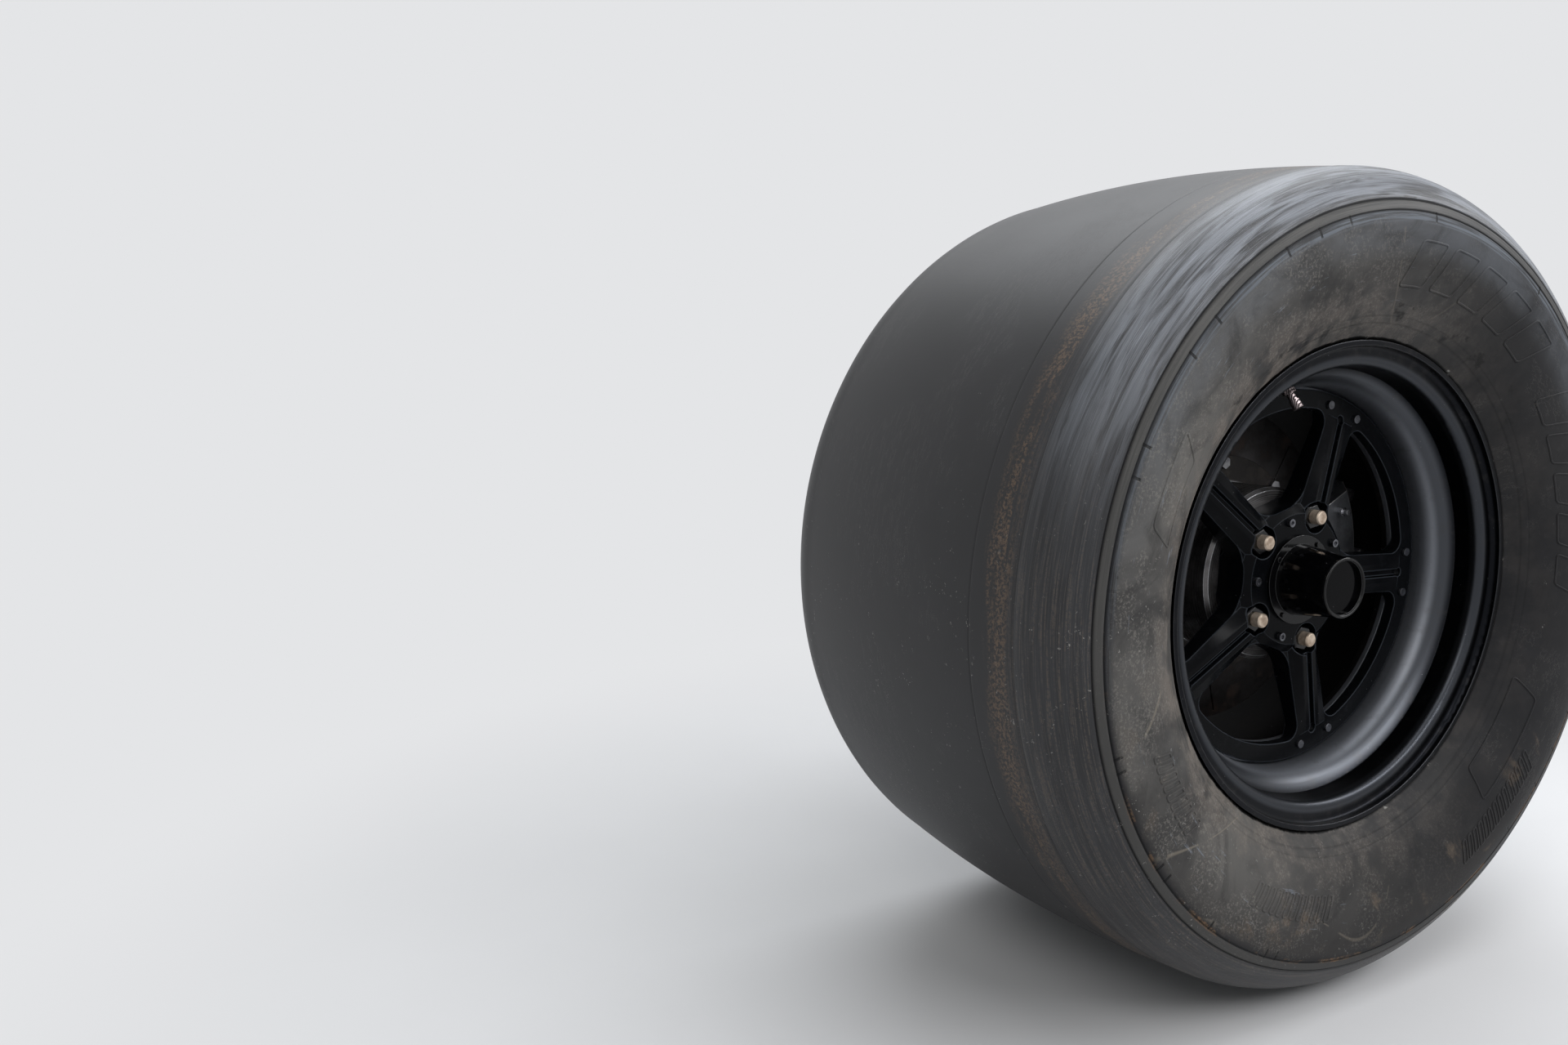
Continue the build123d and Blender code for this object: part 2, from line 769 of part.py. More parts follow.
# Vented brake disc: two plates joined by straight vanes, with slots across its outer face
with BuildPart() as brake_disc:
    for depth, inner in (
        (disc_face + disc_plate_thickness, disc_inner_radius),
        (disc_back, disc_back_inner_radius),
    ):
        with BuildSketch(across(depth)):
            Circle(disc_radius)
            Circle(inner, mode=Mode.SUBTRACT)
        extrude(amount=disc_plate_thickness)
    with BuildSketch(across(disc_back - disc_plate_thickness)):
        with PolarLocations((disc_radius + disc_back_inner_radius) / 2, vane_count):
            Rectangle(disc_radius - disc_back_inner_radius - vane_thickness, vane_thickness)
    extrude(amount=disc_thickness - 2 * disc_plate_thickness)
    with BuildSketch(across(disc_face + slot_depth)):
        with PolarLocations((disc_radius + hat_flange_radius) / 2, slot_count):
            SlotOverall(disc_ring_width - 2 * slot_margin, slot_width, rotation=slot_lean)
    extrude(amount=slot_depth, mode=Mode.SUBTRACT)
    with BuildSketch(across(disc_face + disc_plate_thickness)):
        with PolarLocations(disc_bolt_circle_radius, disc_bolt_count):
            Circle(disc_bolt_radius + slip_gap)
    extrude(amount=disc_plate_thickness, mode=Mode.SUBTRACT)
brake_disc.part.label = "brake_disc"

# Bolts that hold the disc to its hat, with a hexagon at each end
disc_nut_end = disc_face + disc_plate_thickness + disc_nut_height
with BuildPart() as disc_bolts:
    with BuildSketch(across(disc_face + disc_plate_thickness)):
        with PolarLocations(disc_bolt_circle_radius, disc_bolt_count):
            Circle(disc_bolt_radius)
    extrude(amount=hat_flange_thickness + disc_plate_thickness)
    for depth, length in (
        (hat_flange_front, disc_bolt_head_height),
        (disc_nut_end, disc_nut_height),
    ):
        with BuildSketch(across(depth)):
            with PolarLocations(disc_bolt_circle_radius, disc_bolt_count):
                RegularPolygon(disc_bolt_head_radius, 6)
        extrude(amount=length)
disc_bolts.part.label = "disc_bolts"

# Brake pads, each a friction block on a steel backing plate with a tab for the pin
friction_front = disc_face - seat_gap - friction_thickness
backing_front = friction_front - backing_thickness
friction_depths = (disc_face - seat_gap, disc_back + seat_gap + friction_thickness)
backing_depths = (friction_front, disc_back + seat_gap + friction_thickness + backing_thickness)
with BuildPart() as pad_friction:
    for depth in friction_depths:
        with BuildSketch(across(depth)):
            sector(pad_inner_radius, pad_outer_radius, caliper_angle, pad_half_angle)
        extrude(amount=friction_thickness)
pad_friction.part.label = "pad_friction"
tab_top = pin_circle_radius + 2 * pin_radius
with BuildPart() as pad_backing:
    for depth in backing_depths:
        with BuildSketch(across(depth)):
            sector(pad_inner_radius, pad_outer_radius, caliper_angle, pad_half_angle)
            sector(pad_outer_radius - pad_overhang, tab_top, caliper_angle, pin_tab_half_angle)
            with Locations(polar(pin_circle_radius, caliper_angle)):
                Circle(pin_radius + slip_gap, mode=Mode.SUBTRACT)
        extrude(amount=backing_thickness)
pad_backing.part.label = "pad_backing"

# Two halves of the fixed caliper, joined by bridges each side of the pads
caliper_face = backing_front - piston_reach
bridge_inner_radius = disc_radius + disc_clearance
bridge_outer_radius = caliper_outer_radius - bridge_inset
piston_places = [
    polar(piston_circle_radius, caliper_angle + side * piston_half_angle) for side in (-1, 1)
]
bridge_places = [
    polar(bridge_bolt_circle_radius, caliper_angle + side * bridge_bolt_angle) for side in (-1, 1)
]
ear_places = [polar(ear_circle_radius, caliper_angle + side * ear_angle) for side in (-1, 1)]
bridge_middle = (caliper_half_angle + bridge_half_angle) / 2
bridge_half = (caliper_half_angle - bridge_half_angle) / 2 - bridge_side_angle
ear_root_middle = (ear_angle + caliper_half_angle - ear_root_angle) / 2
ear_root_half = (ear_angle - caliper_half_angle + ear_root_angle) / 2
arm_back = plate_front + arm_thickness
caliper_back = 2 * disc_middle - caliper_face + caliper_thickness
caliper_front = caliper_face - caliper_thickness
bridge_bolt_seat = caliper_front + caliper_bevel - bridge_bolt_head_height / 2
bevel_front = caliper_front - cutter_reach
bevel_back = caliper_front + caliper_bevel + cutter_reach
piston_length = piston_bore_depth + piston_reach - piston_end_gap
piston_depths = (backing_front, 2 * disc_middle - backing_front + piston_length)


def caliper_half(mirrored):
    """Solid of one half: the inner one has two ears, the outer one a bevelled outer edge."""
    with BuildPart() as half:
        with BuildSketch(across(caliper_face)) as body:
            sector(caliper_inner_radius, caliper_outer_radius, caliper_angle, caliper_half_angle)
            fillet(body.vertices(), caliper_round)
        extrude(amount=caliper_thickness)
        with BuildSketch(across(disc_middle)):
            for side in (-1, 1):
                middle = caliper_angle + side * bridge_middle
                sector(bridge_inner_radius, bridge_outer_radius, middle, bridge_half)
        extrude(amount=disc_middle - caliper_face)
        if mirrored:
            mirror(about=Plane.XZ.offset(-depth_y(disc_middle)), mode=Mode.REPLACE)
            with BuildSketch(across(arm_back + ear_thickness)):
                for side, place in zip((-1, 1), ear_places):
                    middle = caliper_angle + side * ear_root_middle
                    low = ear_circle_radius - ear_round
                    sector(low, low + 2 * ear_round, middle, ear_root_half)
                    with Locations(place):
                        Circle(ear_round)
            extrude(amount=ear_thickness)
            with BuildSketch(across(arm_back + ear_thickness)):
                with Locations(*ear_places):
                    Circle(ear_bolt_radius + slip_gap)
            extrude(amount=ear_thickness, mode=Mode.SUBTRACT)
            bore_plane = across(2 * disc_middle - caliper_face + piston_bore_depth)
        else:
            with BuildSketch(Plane.XY):
                Polygon(
                    *section(
                        (caliper_outer_radius - caliper_bevel - cutter_reach, bevel_front),
                        (caliper_outer_radius + cutter_reach, bevel_front),
                        (caliper_outer_radius + cutter_reach, bevel_back),
                    ),
                    align=None,
                )
            revolve(axis=Axis.Y, mode=Mode.SUBTRACT)
            with BuildSketch(across(bridge_bolt_seat)):
                with Locations(*bridge_places):
                    Circle(bridge_bolt_head_radius + seat_gap)
            extrude(amount=bridge_bolt_seat - bevel_front, mode=Mode.SUBTRACT)
            bore_plane = across(caliper_face)
        with BuildSketch(bore_plane):
            with Locations(*piston_places):
                Circle(piston_radius + slip_gap)
        extrude(amount=piston_bore_depth, mode=Mode.SUBTRACT)
        with BuildSketch(across(caliper_back)):
            with Locations(*bridge_places):
                Circle(bridge_bolt_radius + slip_gap)
            with Locations(polar(pin_circle_radius, caliper_angle)):
                Circle(pin_radius + slip_gap)
        extrude(amount=caliper_back - caliper_front, mode=Mode.SUBTRACT)
    return half


caliper_outer_half = caliper_half(False)
caliper_outer_half.part.label = "caliper_outer"
caliper_inner_half = caliper_half(True)
caliper_inner_half.part.label = "caliper_inner"

# Pistons that press on the backing plates
with BuildPart() as pistons:
    for depth in piston_depths:
        with BuildSketch(across(depth)):
            with Locations(*piston_places):
                Circle(piston_radius)
        extrude(amount=piston_length)
pistons.part.label = "pistons"

# Bolts through the bridges, and the pin that holds the pads
with BuildPart() as bridge_bolts:
    with BuildSketch(across(caliper_back - caliper_round)):
        with Locations(*bridge_places):
            Circle(bridge_bolt_radius)
    extrude(amount=caliper_back - caliper_round - bridge_bolt_seat)
    with BuildSketch(across(bridge_bolt_seat)):
        with Locations(*bridge_places):
            Circle(bridge_bolt_head_radius)
    extrude(amount=bridge_bolt_head_height)
bridge_bolts.part.label = "bridge_bolts"
with BuildPart() as pad_pin:
    with BuildSketch(across(caliper_back)):
        with Locations(polar(pin_circle_radius, caliper_angle)):
            Circle(pin_radius)
    extrude(amount=caliper_back - caliper_front)
pad_pin.part.label = "pad_pin"

# Bleed screw on the face of each half of the caliper, and the inlet on its inner half
bleeder_place = polar(bleeder_circle_radius, caliper_angle + bleeder_angle)
bleeder_back = caliper_back + bleeder_height
with BuildPart() as caliper_fittings:
    for foot, tip in (
        (caliper_front, caliper_front - bleeder_height),
        (bleeder_back, bleeder_back + bleeder_tip_height),
    ):
        with BuildSketch(across(foot)):
            with Locations(bleeder_place):
                RegularPolygon(bleeder_radius, 6)
        extrude(amount=bleeder_height)
        with BuildSketch(across(tip)):
            with Locations(bleeder_place):
                Circle(bleeder_tip_radius)
        extrude(amount=bleeder_tip_height)
    with BuildSketch(across(caliper_back + inlet_height)):
        with Locations(polar(inlet_circle_radius, caliper_angle)):
            RegularPolygon(inlet_radius, 6)
    extrude(amount=inlet_height)
    with BuildSketch(across(caliper_back + inlet_height + inlet_neck_height)):
        with Locations(polar(inlet_circle_radius, caliper_angle)):
            Circle(inlet_neck_radius)
    extrude(amount=inlet_neck_height)
caliper_fittings.part.label = "caliper_fittings"

# Bracket: the plate that meets the housing, with two arms that carry the caliper
with BuildPart() as caliper_bracket:
    with BuildSketch(across(lip_to_mount)):
        Circle(plate_radius)
    extrude(amount=plate_thickness)
    for side, place in zip((-1, 1), ear_places):
        with BuildSketch(across(arm_back)):
            with Locations(place):
                Circle(arm_tip_radius)
            with Locations(polar(arm_root_circle_radius, caliper_angle + side * ear_angle)):
                Circle(arm_root_radius)
            make_hull()
        extrude(amount=arm_thickness)
    with BuildSketch(across(lip_to_mount)):
        Circle(bearing_radius + slip_gap)
        with Locations(*around(mount_circle_radius, mount_angles)):
            Circle(mount_hole_radius)
    extrude(amount=plate_thickness, mode=Mode.SUBTRACT)
    with BuildSketch(across(arm_back)):
        with Locations(*ear_places):
            Circle(ear_bolt_radius + slip_gap)
    extrude(amount=arm_thickness, mode=Mode.SUBTRACT)
caliper_bracket.part.label = "caliper_bracket"

# Bolts from the ears of the caliper into the arms
with BuildPart() as ear_bolts:
    with BuildSketch(across(arm_back + ear_thickness)):
        with Locations(*ear_places):
            Circle(ear_bolt_radius)
    extrude(amount=arm_thickness + ear_thickness)
    with BuildSketch(across(arm_back + ear_thickness + ear_bolt_head_height)):
        with Locations(*ear_places):
            RegularPolygon(ear_bolt_head_radius, 6)
    extrude(amount=ear_bolt_head_height)
ear_bolts.part.label = "ear_bolts"

# Plate that keeps the bearing in the housing
with BuildPart() as bearing_retainer:
    with BuildSketch(across(plate_front)):
        with Locations(*around(mount_circle_radius, mount_angles)):
            Circle(retainer_corner_radius)
        Circle(bearing_radius + retainer_edge)
        make_hull()
        Circle(retainer_bore_radius, mode=Mode.SUBTRACT)
        with Locations(*around(mount_circle_radius, mount_angles)):
            Circle(mount_hole_radius, mode=Mode.SUBTRACT)
    extrude(amount=retainer_thickness)
bearing_retainer.part.label = "bearing_retainer"

# Axle bearing: the outer race with its shields stays, and the inner race turns
with BuildPart() as bearing_outer:
    with BuildSketch(Plane.XY):
        race_inside = bearing_radius - race_wall
        Polygon(
            *section(
                (race_inside, plate_front),
                (bearing_radius - bearing_step, plate_front),
                (bearing_radius - bearing_step, lip_to_mount),
                (bearing_radius, lip_to_mount),
                (bearing_radius, bearing_end),
                (race_inside, bearing_end),
            ),
            align=None,
        )
        shield_inside = inner_race_radius + running_clearance
        for depth in (plate_front + shield_inset, bearing_end - shield_inset - shield_thickness):
            with Locations(section((shield_inside, depth))[0]):
                Rectangle(
                    race_inside - shield_inside, shield_thickness, align=(Align.MIN, Align.MIN)
                )
    revolve(axis=Axis.Y)
bearing_outer.part.label = "bearing_outer"
with BuildPart() as bearing_inner:
    with BuildSketch(across(bearing_end)):
        Circle(inner_race_radius)
        Circle(journal_radius + slip_gap, mode=Mode.SUBTRACT)
    extrude(amount=bearing_width)
bearing_inner.part.label = "bearing_inner"

# Collar pressed on behind the bearing
with BuildPart() as lock_collar:
    with BuildSketch(across(bearing_end + collar_width)):
        Circle(collar_radius)
        Circle(journal_radius + slip_gap, mode=Mode.SUBTRACT)
    extrude(amount=collar_width)
    chamfer(lock_collar.faces().sort_by(Axis.Y)[-1].edges().sort_by(SortBy.RADIUS)[-1], collar_chamfer)
lock_collar.part.label = "lock_collar"

# Axle shaft: flange with its pilot and stud holes, bearing journal, and a splined end
pilot_radius = bore_radius - pilot_clearance
pilot_end = axle_face - pilot_length
boss_end = flange_back + boss_length
spline_end = shaft_end - spline_chamfer
tooth_root_half = spline_root_share * 180 / spline_teeth
tooth_tip_half = spline_tip_share * 180 / spline_teeth
with BuildPart() as axle_shaft:
    with BuildSketch(Plane.XY):
        Polygon(
            *section(
                (0, pilot_end),
                (pilot_radius - pilot_chamfer, pilot_end),
                (pilot_radius, pilot_end + pilot_chamfer),
                (pilot_radius, axle_face),
                (flange_radius, axle_face),
                (flange_radius, flange_back),
                (boss_radius, flange_back),
                (boss_radius, boss_end),
                (shoulder_shaft_radius, boss_end + boss_taper),
                (shoulder_shaft_radius, plate_front),
                (journal_radius, plate_front),
                (journal_radius, collar_end),
                (shaft_radius, collar_end + shaft_taper),
                (shaft_radius, shaft_end - spline_length),
                (spline_root_radius, shaft_end - spline_length),
                (spline_root_radius, spline_end),
                (spline_root_radius - spline_chamfer, shaft_end),
                (0, shaft_end),
            ),
            align=None,
        )
    revolve(axis=Axis.Y)
    with BuildSketch(across(spline_end)):
        with BuildLine() as tooth:
            Polyline(
                polar(spline_root_radius - spline_overlap, -tooth_root_half),
                polar(spline_outer_radius, -tooth_tip_half),
                polar(spline_outer_radius, tooth_tip_half),
                polar(spline_root_radius - spline_overlap, tooth_root_half),
                close=True,
            )
        with PolarLocations(0, spline_teeth):
            make_face(tooth.edges())
    extrude(amount=spline_length - spline_chamfer)
    with BuildSketch(across(flange_back)):
        with PolarLocations(lug_circle_radius, spoke_count, start_angle=first_spoke):
            Circle(stud_radius + slip_gap)
        with PolarLocations(flange_hole_circle_radius, spoke_count, start_angle=between_spokes[0]):
            Circle(flange_hole_radius)
    extrude(amount=flange_thickness, mode=Mode.SUBTRACT)
axle_shaft.part.label = "axle_shaft"

pieces = [
    tyre,
    rim_outer,
    rim_inner,
    wheel_centre,
    ring_bolts,
    wheel_studs,
    lug_nuts,
    hub_screws,
    hub_cap,
    cap_plug,
    cap_screws,
    valve_stem,
    valve_cap,
    balance_weight,
    disc_hat,
    brake_disc,
    disc_bolts,
    pad_friction,
    pad_backing,
    caliper_outer_half,
    caliper_inner_half,
    pistons,
    bridge_bolts,
    pad_pin,
    caliper_fittings,
    caliper_bracket,
    ear_bolts,
    bearing_retainer,
    bearing_outer,
    bearing_inner,
    lock_collar,
    axle_shaft,
]
for piece in pieces:
    export_step(piece.part, f"parts/{piece.part.label}.step")
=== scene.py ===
"""Looks of the rear wheel end of a sports car: a smooth tyre on a deep black five-spoke wheel,
with the disc brake, the axle shaft and the plates behind it.

Everything turns about the Y axis of the frame. Radii and depths are in millimetres, depths
going inboard from the wheel's outer lip as in the CAD, and meshes are in metres."""
import math
from types import SimpleNamespace

import bpy
import numpy as np
from mathutils import Matrix, Vector


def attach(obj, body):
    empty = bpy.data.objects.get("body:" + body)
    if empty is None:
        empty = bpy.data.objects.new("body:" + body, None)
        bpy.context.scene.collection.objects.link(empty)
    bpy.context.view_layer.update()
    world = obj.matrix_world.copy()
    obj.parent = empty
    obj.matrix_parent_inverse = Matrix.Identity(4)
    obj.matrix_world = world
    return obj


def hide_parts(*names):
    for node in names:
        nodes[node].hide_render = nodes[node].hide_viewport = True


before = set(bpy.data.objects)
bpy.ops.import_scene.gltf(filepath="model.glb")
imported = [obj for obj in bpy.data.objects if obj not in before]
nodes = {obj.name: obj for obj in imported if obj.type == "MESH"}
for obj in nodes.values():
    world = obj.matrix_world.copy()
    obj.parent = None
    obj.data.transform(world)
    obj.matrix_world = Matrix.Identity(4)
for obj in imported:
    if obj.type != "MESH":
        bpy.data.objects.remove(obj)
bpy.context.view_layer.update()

MM = 0.001
LIP_TO_MOUNT = 188.0
TYRE_RADIUS = 355.6
TREAD_MIDDLE = 164.5
BEAD_SEAT = 190.4
# Radius and depth of the foot, the widest point and the shoulder of the outer sidewall
SIDEWALL_FOOT = (207.8, 3.0)
BULGE = (296.0, -33.6)
SHOULDER = (347.0, 18.0)
# Radius, half width and groove depth of each line pressed into the front of the sidewall
SIDEWALL_LINES = ((316.5, 0.9, 1.1), (308.0, 0.7, 0.8), (226.5, 0.8, 0.15), (220.5, 1.0, 0.2))
# Place in depth, half width and groove depth of each line on the shoulder and tread
TREAD_LINES = ((20.0, 1.2, 0.5), (66.0, 0.8, 0.4))
# Radius where the sidewall's finish gives way to the shoulder's
RIB_EDGE = 316.5
# Distance between the rings of a thread
THREAD_PITCH = 1.5
# Points of each arc of the tyre's outer section
ARC_POINTS = 900

# Node helpers


def put(tree, kind, inputs=None, **settings):
    """Adds a node, sets its properties, and gives each named input a value or a link."""
    item = tree.nodes.new("ShaderNode" + kind)
    for key, value in settings.items():
        setattr(item, key, value)
    for key, value in (inputs or {}).items():
        if isinstance(value, bpy.types.NodeSocket):
            tree.links.new(value, item.inputs[key])
        else:
            item.inputs[key].default_value = value
    return item


def calc(tree, operation, first, second=0.0, clamp=False):
    """Output of a Math node."""
    values = {0: first, 1: second}
    return put(tree, "Math", values, operation=operation, use_clamp=clamp).outputs[0]


def product(tree, *values):
    """All values multiplied together."""
    total = values[0]
    for value in values[1:]:
        total = calc(tree, "MULTIPLY", total, value)
    return total


def plus(tree, *values):
    """All values added up."""
    total = values[0]
    for value in values[1:]:
        total = calc(tree, "ADD", total, value)
    return total


def minus(tree, first, second):
    """The second value taken from the first."""
    return calc(tree, "SUBTRACT", first, second)


def fade(tree, value, low, high):
    """0 below low, 1 above high, and a smooth step between."""
    inputs = {"Value": value, "From Min": low, "From Max": high}
    item = put(tree, "MapRange", inputs, interpolation_type="SMOOTHSTEP")
    return item.outputs["Result"]


def band(tree, value, low, high, edge):
    """1 between low and high, falling to 0 over an edge on both sides."""
    rise = fade(tree, value, low - edge, low + edge)
    fall = fade(tree, value, high + edge, high - edge)
    return product(tree, rise, fall)


def mix(tree, share, first, second):
    """Colour between two colours."""
    inputs = {"Factor": share, 6: first, 7: second}
    return put(tree, "Mix", inputs, data_type="RGBA").outputs[2]


def layer(tree, colour, paint, *shares):
    """Colour with a paint laid over it by the product of the shares."""
    return mix(tree, product(tree, *shares), colour, paint)


def noise(tree, vector, scale, detail=4.0, rough=0.55, warp=0.0):
    """Value of a noise texture, about 0.3 to 0.7, drawn into swirls by a warp."""
    inputs = {"Vector": vector, "Scale": scale, "Detail": detail, "Roughness": rough}
    inputs["Distortion"] = warp
    return put(tree, "TexNoise", inputs).outputs["Fac"]


def specks(tree, vector, scale, size):
    """1 at scattered small dots."""
    cells = put(tree, "TexVoronoi", {"Vector": vector, "Scale": scale}).outputs["Distance"]
    return fade(tree, cells, size, size * 0.4)


def shaken(tree, place):
    """Coordinates moved a little every way, so that dots drawn on them lose their round shape."""
    texture = put(tree, "TexNoise", {"Vector": place, "Scale": 260.0, "Detail": 2.0})
    inputs = {0: texture.outputs["Color"], "Scale": 0.014}
    shift = put(tree, "VectorMath", inputs, operation="SCALE").outputs[0]
    return put(tree, "VectorMath", {0: place, 1: shift}, operation="ADD").outputs[0]


def bump(tree, height, strength, distance, normal=None):
    """Normal tilted by a height."""
    inputs = {"Height": height, "Strength": strength, "Distance": distance}
    if normal is not None:
        inputs["Normal"] = normal
    return put(tree, "Bump", inputs).outputs["Normal"]


def rounded_edge(tree, radius):
    """Normal that softens sharp edges over a radius in metres."""
    return put(tree, "Bevel", {"Radius": radius}, samples=6).outputs["Normal"]


def edges(tree, radius):
    """1 along sharp edges, where the rounded normal leaves the surface's own."""
    flat = put(tree, "NewGeometry").outputs["Normal"]
    inputs = {0: flat, 1: rounded_edge(tree, radius)}
    same = put(tree, "VectorMath", inputs, operation="DOT_PRODUCT").outputs["Value"]
    return fade(tree, minus(tree, 1.0, same), 0.004, 0.12)


def turned(tree):
    """Object coordinates, and the radius, depth and angle about the axle."""
    place = put(tree, "TexCoord").outputs["Object"]
    x, y, z = put(tree, "SeparateXYZ", {0: place}).outputs
    flat = put(tree, "CombineXYZ", {0: x, 1: 0.0, 2: z}).outputs[0]
    reach = put(tree, "VectorMath", {0: flat}, operation="LENGTH").outputs["Value"]
    radius = calc(tree, "DIVIDE", reach, MM)
    depth = plus(tree, calc(tree, "DIVIDE", y, MM), LIP_TO_MOUNT)
    angle = calc(tree, "ARCTAN2", z, x)
    return SimpleNamespace(place=place, x=x, z=z, radius=radius, depth=depth, angle=angle)


def swept(tree, at, along, across):
    """Coordinates in which a pattern is drawn out along the turn of the wheel."""
    safe = calc(tree, "MAXIMUM", product(tree, at.radius, MM), MM)
    rise = product(tree, plus(tree, at.radius, at.depth), across)
    side = product(tree, calc(tree, "DIVIDE", at.x, safe), along)
    up = product(tree, calc(tree, "DIVIDE", at.z, safe), along)
    return put(tree, "CombineXYZ", {0: side, 1: rise, 2: up}).outputs[0]


def new_finish(name, sockets=None):
    """Material with a Principled shader whose plain sockets are set, and its tree."""
    material = bpy.data.materials.new(name)
    material.use_nodes = True
    tree = material.node_tree
    shader = tree.nodes["Principled BSDF"]
    for key, value in (sockets or {}).items():
        shader.inputs[key].default_value = value
    return material, tree, shader


def join(tree, shader, colour, roughness=None, normal=None, metallic=None):
    """Links the sockets that vary over the surface."""
    for key, value in (
        ("Base Color", colour),
        ("Roughness", roughness),
        ("Normal", normal),
        ("Metallic", metallic),
    ):
        if value is not None:
            tree.links.new(value, shader.inputs[key])


def rgb(red, green, blue):
    """Linear colour from display values of 0 to 255."""
    values = []
    for value in (red, green, blue):
        share = value / 255
        values.append(share / 12.92 if share <= 0.04045 else ((share + 0.055) / 1.055) ** 2.4)
    return (*values, 1.0)


# Finish of the tyre


def tyre_noises(tree, at):
    """Noises of the rubber, from clouds to grit, and those drawn out along its turn."""
    place = at.place
    return SimpleNamespace(
        clouds=noise(tree, place, 8.0, 5.0, 0.6),
        film=noise(tree, place, 5.0, 6.0, 0.62, 0.8),
        dust=noise(tree, place, 30.0, 7.0, 0.68),
        swirls=noise(tree, place, 13.0, 5.0, 0.6, 1.8),
        bends=noise(tree, place, 3.2, 1.0, 0.4, 0.6),
        grit=noise(tree, place, 420.0, 4.0, 0.7),
        streaks=noise(tree, swept(tree, at, 5.0, 0.5), 1.0, 6.0, 0.62),
        fine=noise(tree, swept(tree, at, 7.0, 2.6), 1.0, 3.0, 0.6),
        patches=noise(tree, swept(tree, at, 3.5, 0.09), 1.0, 4.0, 0.6, 0.6),
        scratches=noise(tree, swept(tree, at, 2.0, 0.03), 3.0, 8.0, 0.75),
        scrapes=noise(tree, swept(tree, at, 9.0, 0.35), 1.0, 5.0, 0.72),
        stripes=noise(tree, swept(tree, at, 9.0, 0.16), 1.0, 3.0, 0.6),
    )


def tyre_zones(tree, at, tone):
    """Shares of the tyre's parts: by side and height with the wheel at rest, and by ring.

    The ring of the shoulder with a ragged inner edge holds the painted sheen. The dusty share is
    greatest on the left and halved at the bottom: dust, and painted light that makes the wall
    lighter on the left and darker low down. The film is patches of it on the wall."""
    left = fade(tree, at.x, 0.2, -0.22)
    wall = band(tree, at.radius, 200.0, 303.0, 5.0)
    bottom = product(tree, fade(tree, at.z, -0.12, -0.3), 0.5)
    # Painted light in the dust: the side share lightens the wall on the left, and the bottom
    # share darkens it low down.
    side = plus(tree, product(tree, left, 0.92), 0.08)
    dusty = product(tree, side, minus(tree, 1.0, bottom))
    ragged = plus(tree, at.radius, product(tree, minus(tree, tone.patches, 0.5), -22.0))
    beyond_rib = fade(tree, at.radius, 316.0, 318.0)
    return SimpleNamespace(
        left=left,
        low=fade(tree, at.z, 0.05, -0.3),
        lower=fade(tree, at.z, 0.18, -0.02),
        high=fade(tree, at.z, -0.1, 0.28),
        top=fade(tree, at.z, 0.07, 0.27),
        front=fade(tree, at.depth, 24.0, 18.0),
        wall=wall,
        dusty=dusty,
        film=product(tree, wall, dusty, fade(tree, tone.film, 0.26, 0.64)),
        shoulder=product(tree, beyond_rib, fade(tree, at.depth, 44.0, 14.0)),
        # Ring of the shoulder where the painted sheen lies.
        sheen_ring=product(tree, fade(tree, ragged, 317.0, 320.0), fade(tree, at.depth, 30.0, 0.0)),
    )


def wall_dust_sheen_and_shade(tree, at, tone, zone, colour):
    """Sidewall with a grey film, brown by the bead, painted sheen high up, painted shade below.
    """
    # Film and brown dust follow the dusty share, so they are also painted light, lighter on the
    # left.
    colour = layer(tree, colour, rgb(96, 94, 91), zone.film)
    by_bead = fade(tree, at.radius, 276.0, 216.0)
    dust = fade(tree, tone.dust, 0.38, 0.64)
    colour = layer(tree, colour, rgb(112, 104, 97), by_bead, dust, zone.dusty, zone.wall, 0.8)
    # Painted sheen: a cool lighter ring high up on the wall.
    ring = band(tree, at.radius, 278.0, 306.0, 12.0)
    sheen = fade(tree, tone.film, 0.38, 0.6)
    colour = layer(tree, colour, rgb(86, 89, 94), ring, zone.high, sheen, 0.65)
    smudge = fade(tree, tone.swirls, 0.52, 0.68)
    colour = layer(tree, colour, rgb(31, 31, 32), smudge, zone.wall, 0.42)
    # Painted shade: a darker film low down on the outer wall.
    outward = fade(tree, at.radius, 256.0, 302.0)
    low_shade = fade(tree, tone.film, 0.3, 0.56)
    colour = layer(tree, colour, rgb(42, 40, 39), outward, zone.low, zone.wall, low_shade, 0.6)
    ring = band(tree, at.radius, 262.0, 300.0, 10.0)
    scuff = fade(tree, tone.swirls, 0.48, 0.38)
    dust = fade(tree, tone.dust, 0.45, 0.6)
    return layer(tree, colour, rgb(96, 84, 72), ring, zone.low, scuff, dust, 0.7)


def streaked_shoulder(tree, tone, zone, colour):
    """Shoulder with blue-grey streaks and painted sheen, brightest at the top, and with mud lower
    down.
    """
    # Streaks of wear, lighter towards the top as a painted sheen.
    wear_and_highlight = fade(tree, tone.streaks, 0.4, 0.66)
    upper = plus(tree, product(tree, zone.high, 0.6), 0.4)
    colour = layer(tree, colour, rgb(55, 56, 60), zone.shoulder, wear_and_highlight, upper, 0.85)
    # Painted sheen: pale blue-grey patches and fine highlights near the top.
    patches = fade(tree, tone.patches, 0.36, 0.6)
    near_top = plus(tree, product(tree, zone.top, 0.95), 0.05)
    colour = layer(tree, colour, rgb(122, 126, 133), zone.sheen_ring, patches, near_top, 0.85)
    pale = fade(tree, tone.fine, 0.54, 0.72)
    colour = layer(tree, colour, rgb(166, 171, 181), zone.sheen_ring, pale, zone.top, 0.65)
    mud = fade(tree, tone.streaks, 0.48, 0.62)
    grit = fade(tree, tone.grit, 0.4, 0.56)
    colour = layer(tree, colour, rgb(84, 74, 64), zone.shoulder, zone.lower, mud, grit, 0.6)
    dark_hair = fade(tree, tone.fine, 0.44, 0.34)
    return layer(tree, colour, rgb(34, 35, 38), zone.shoulder, dark_hair, 0.5)


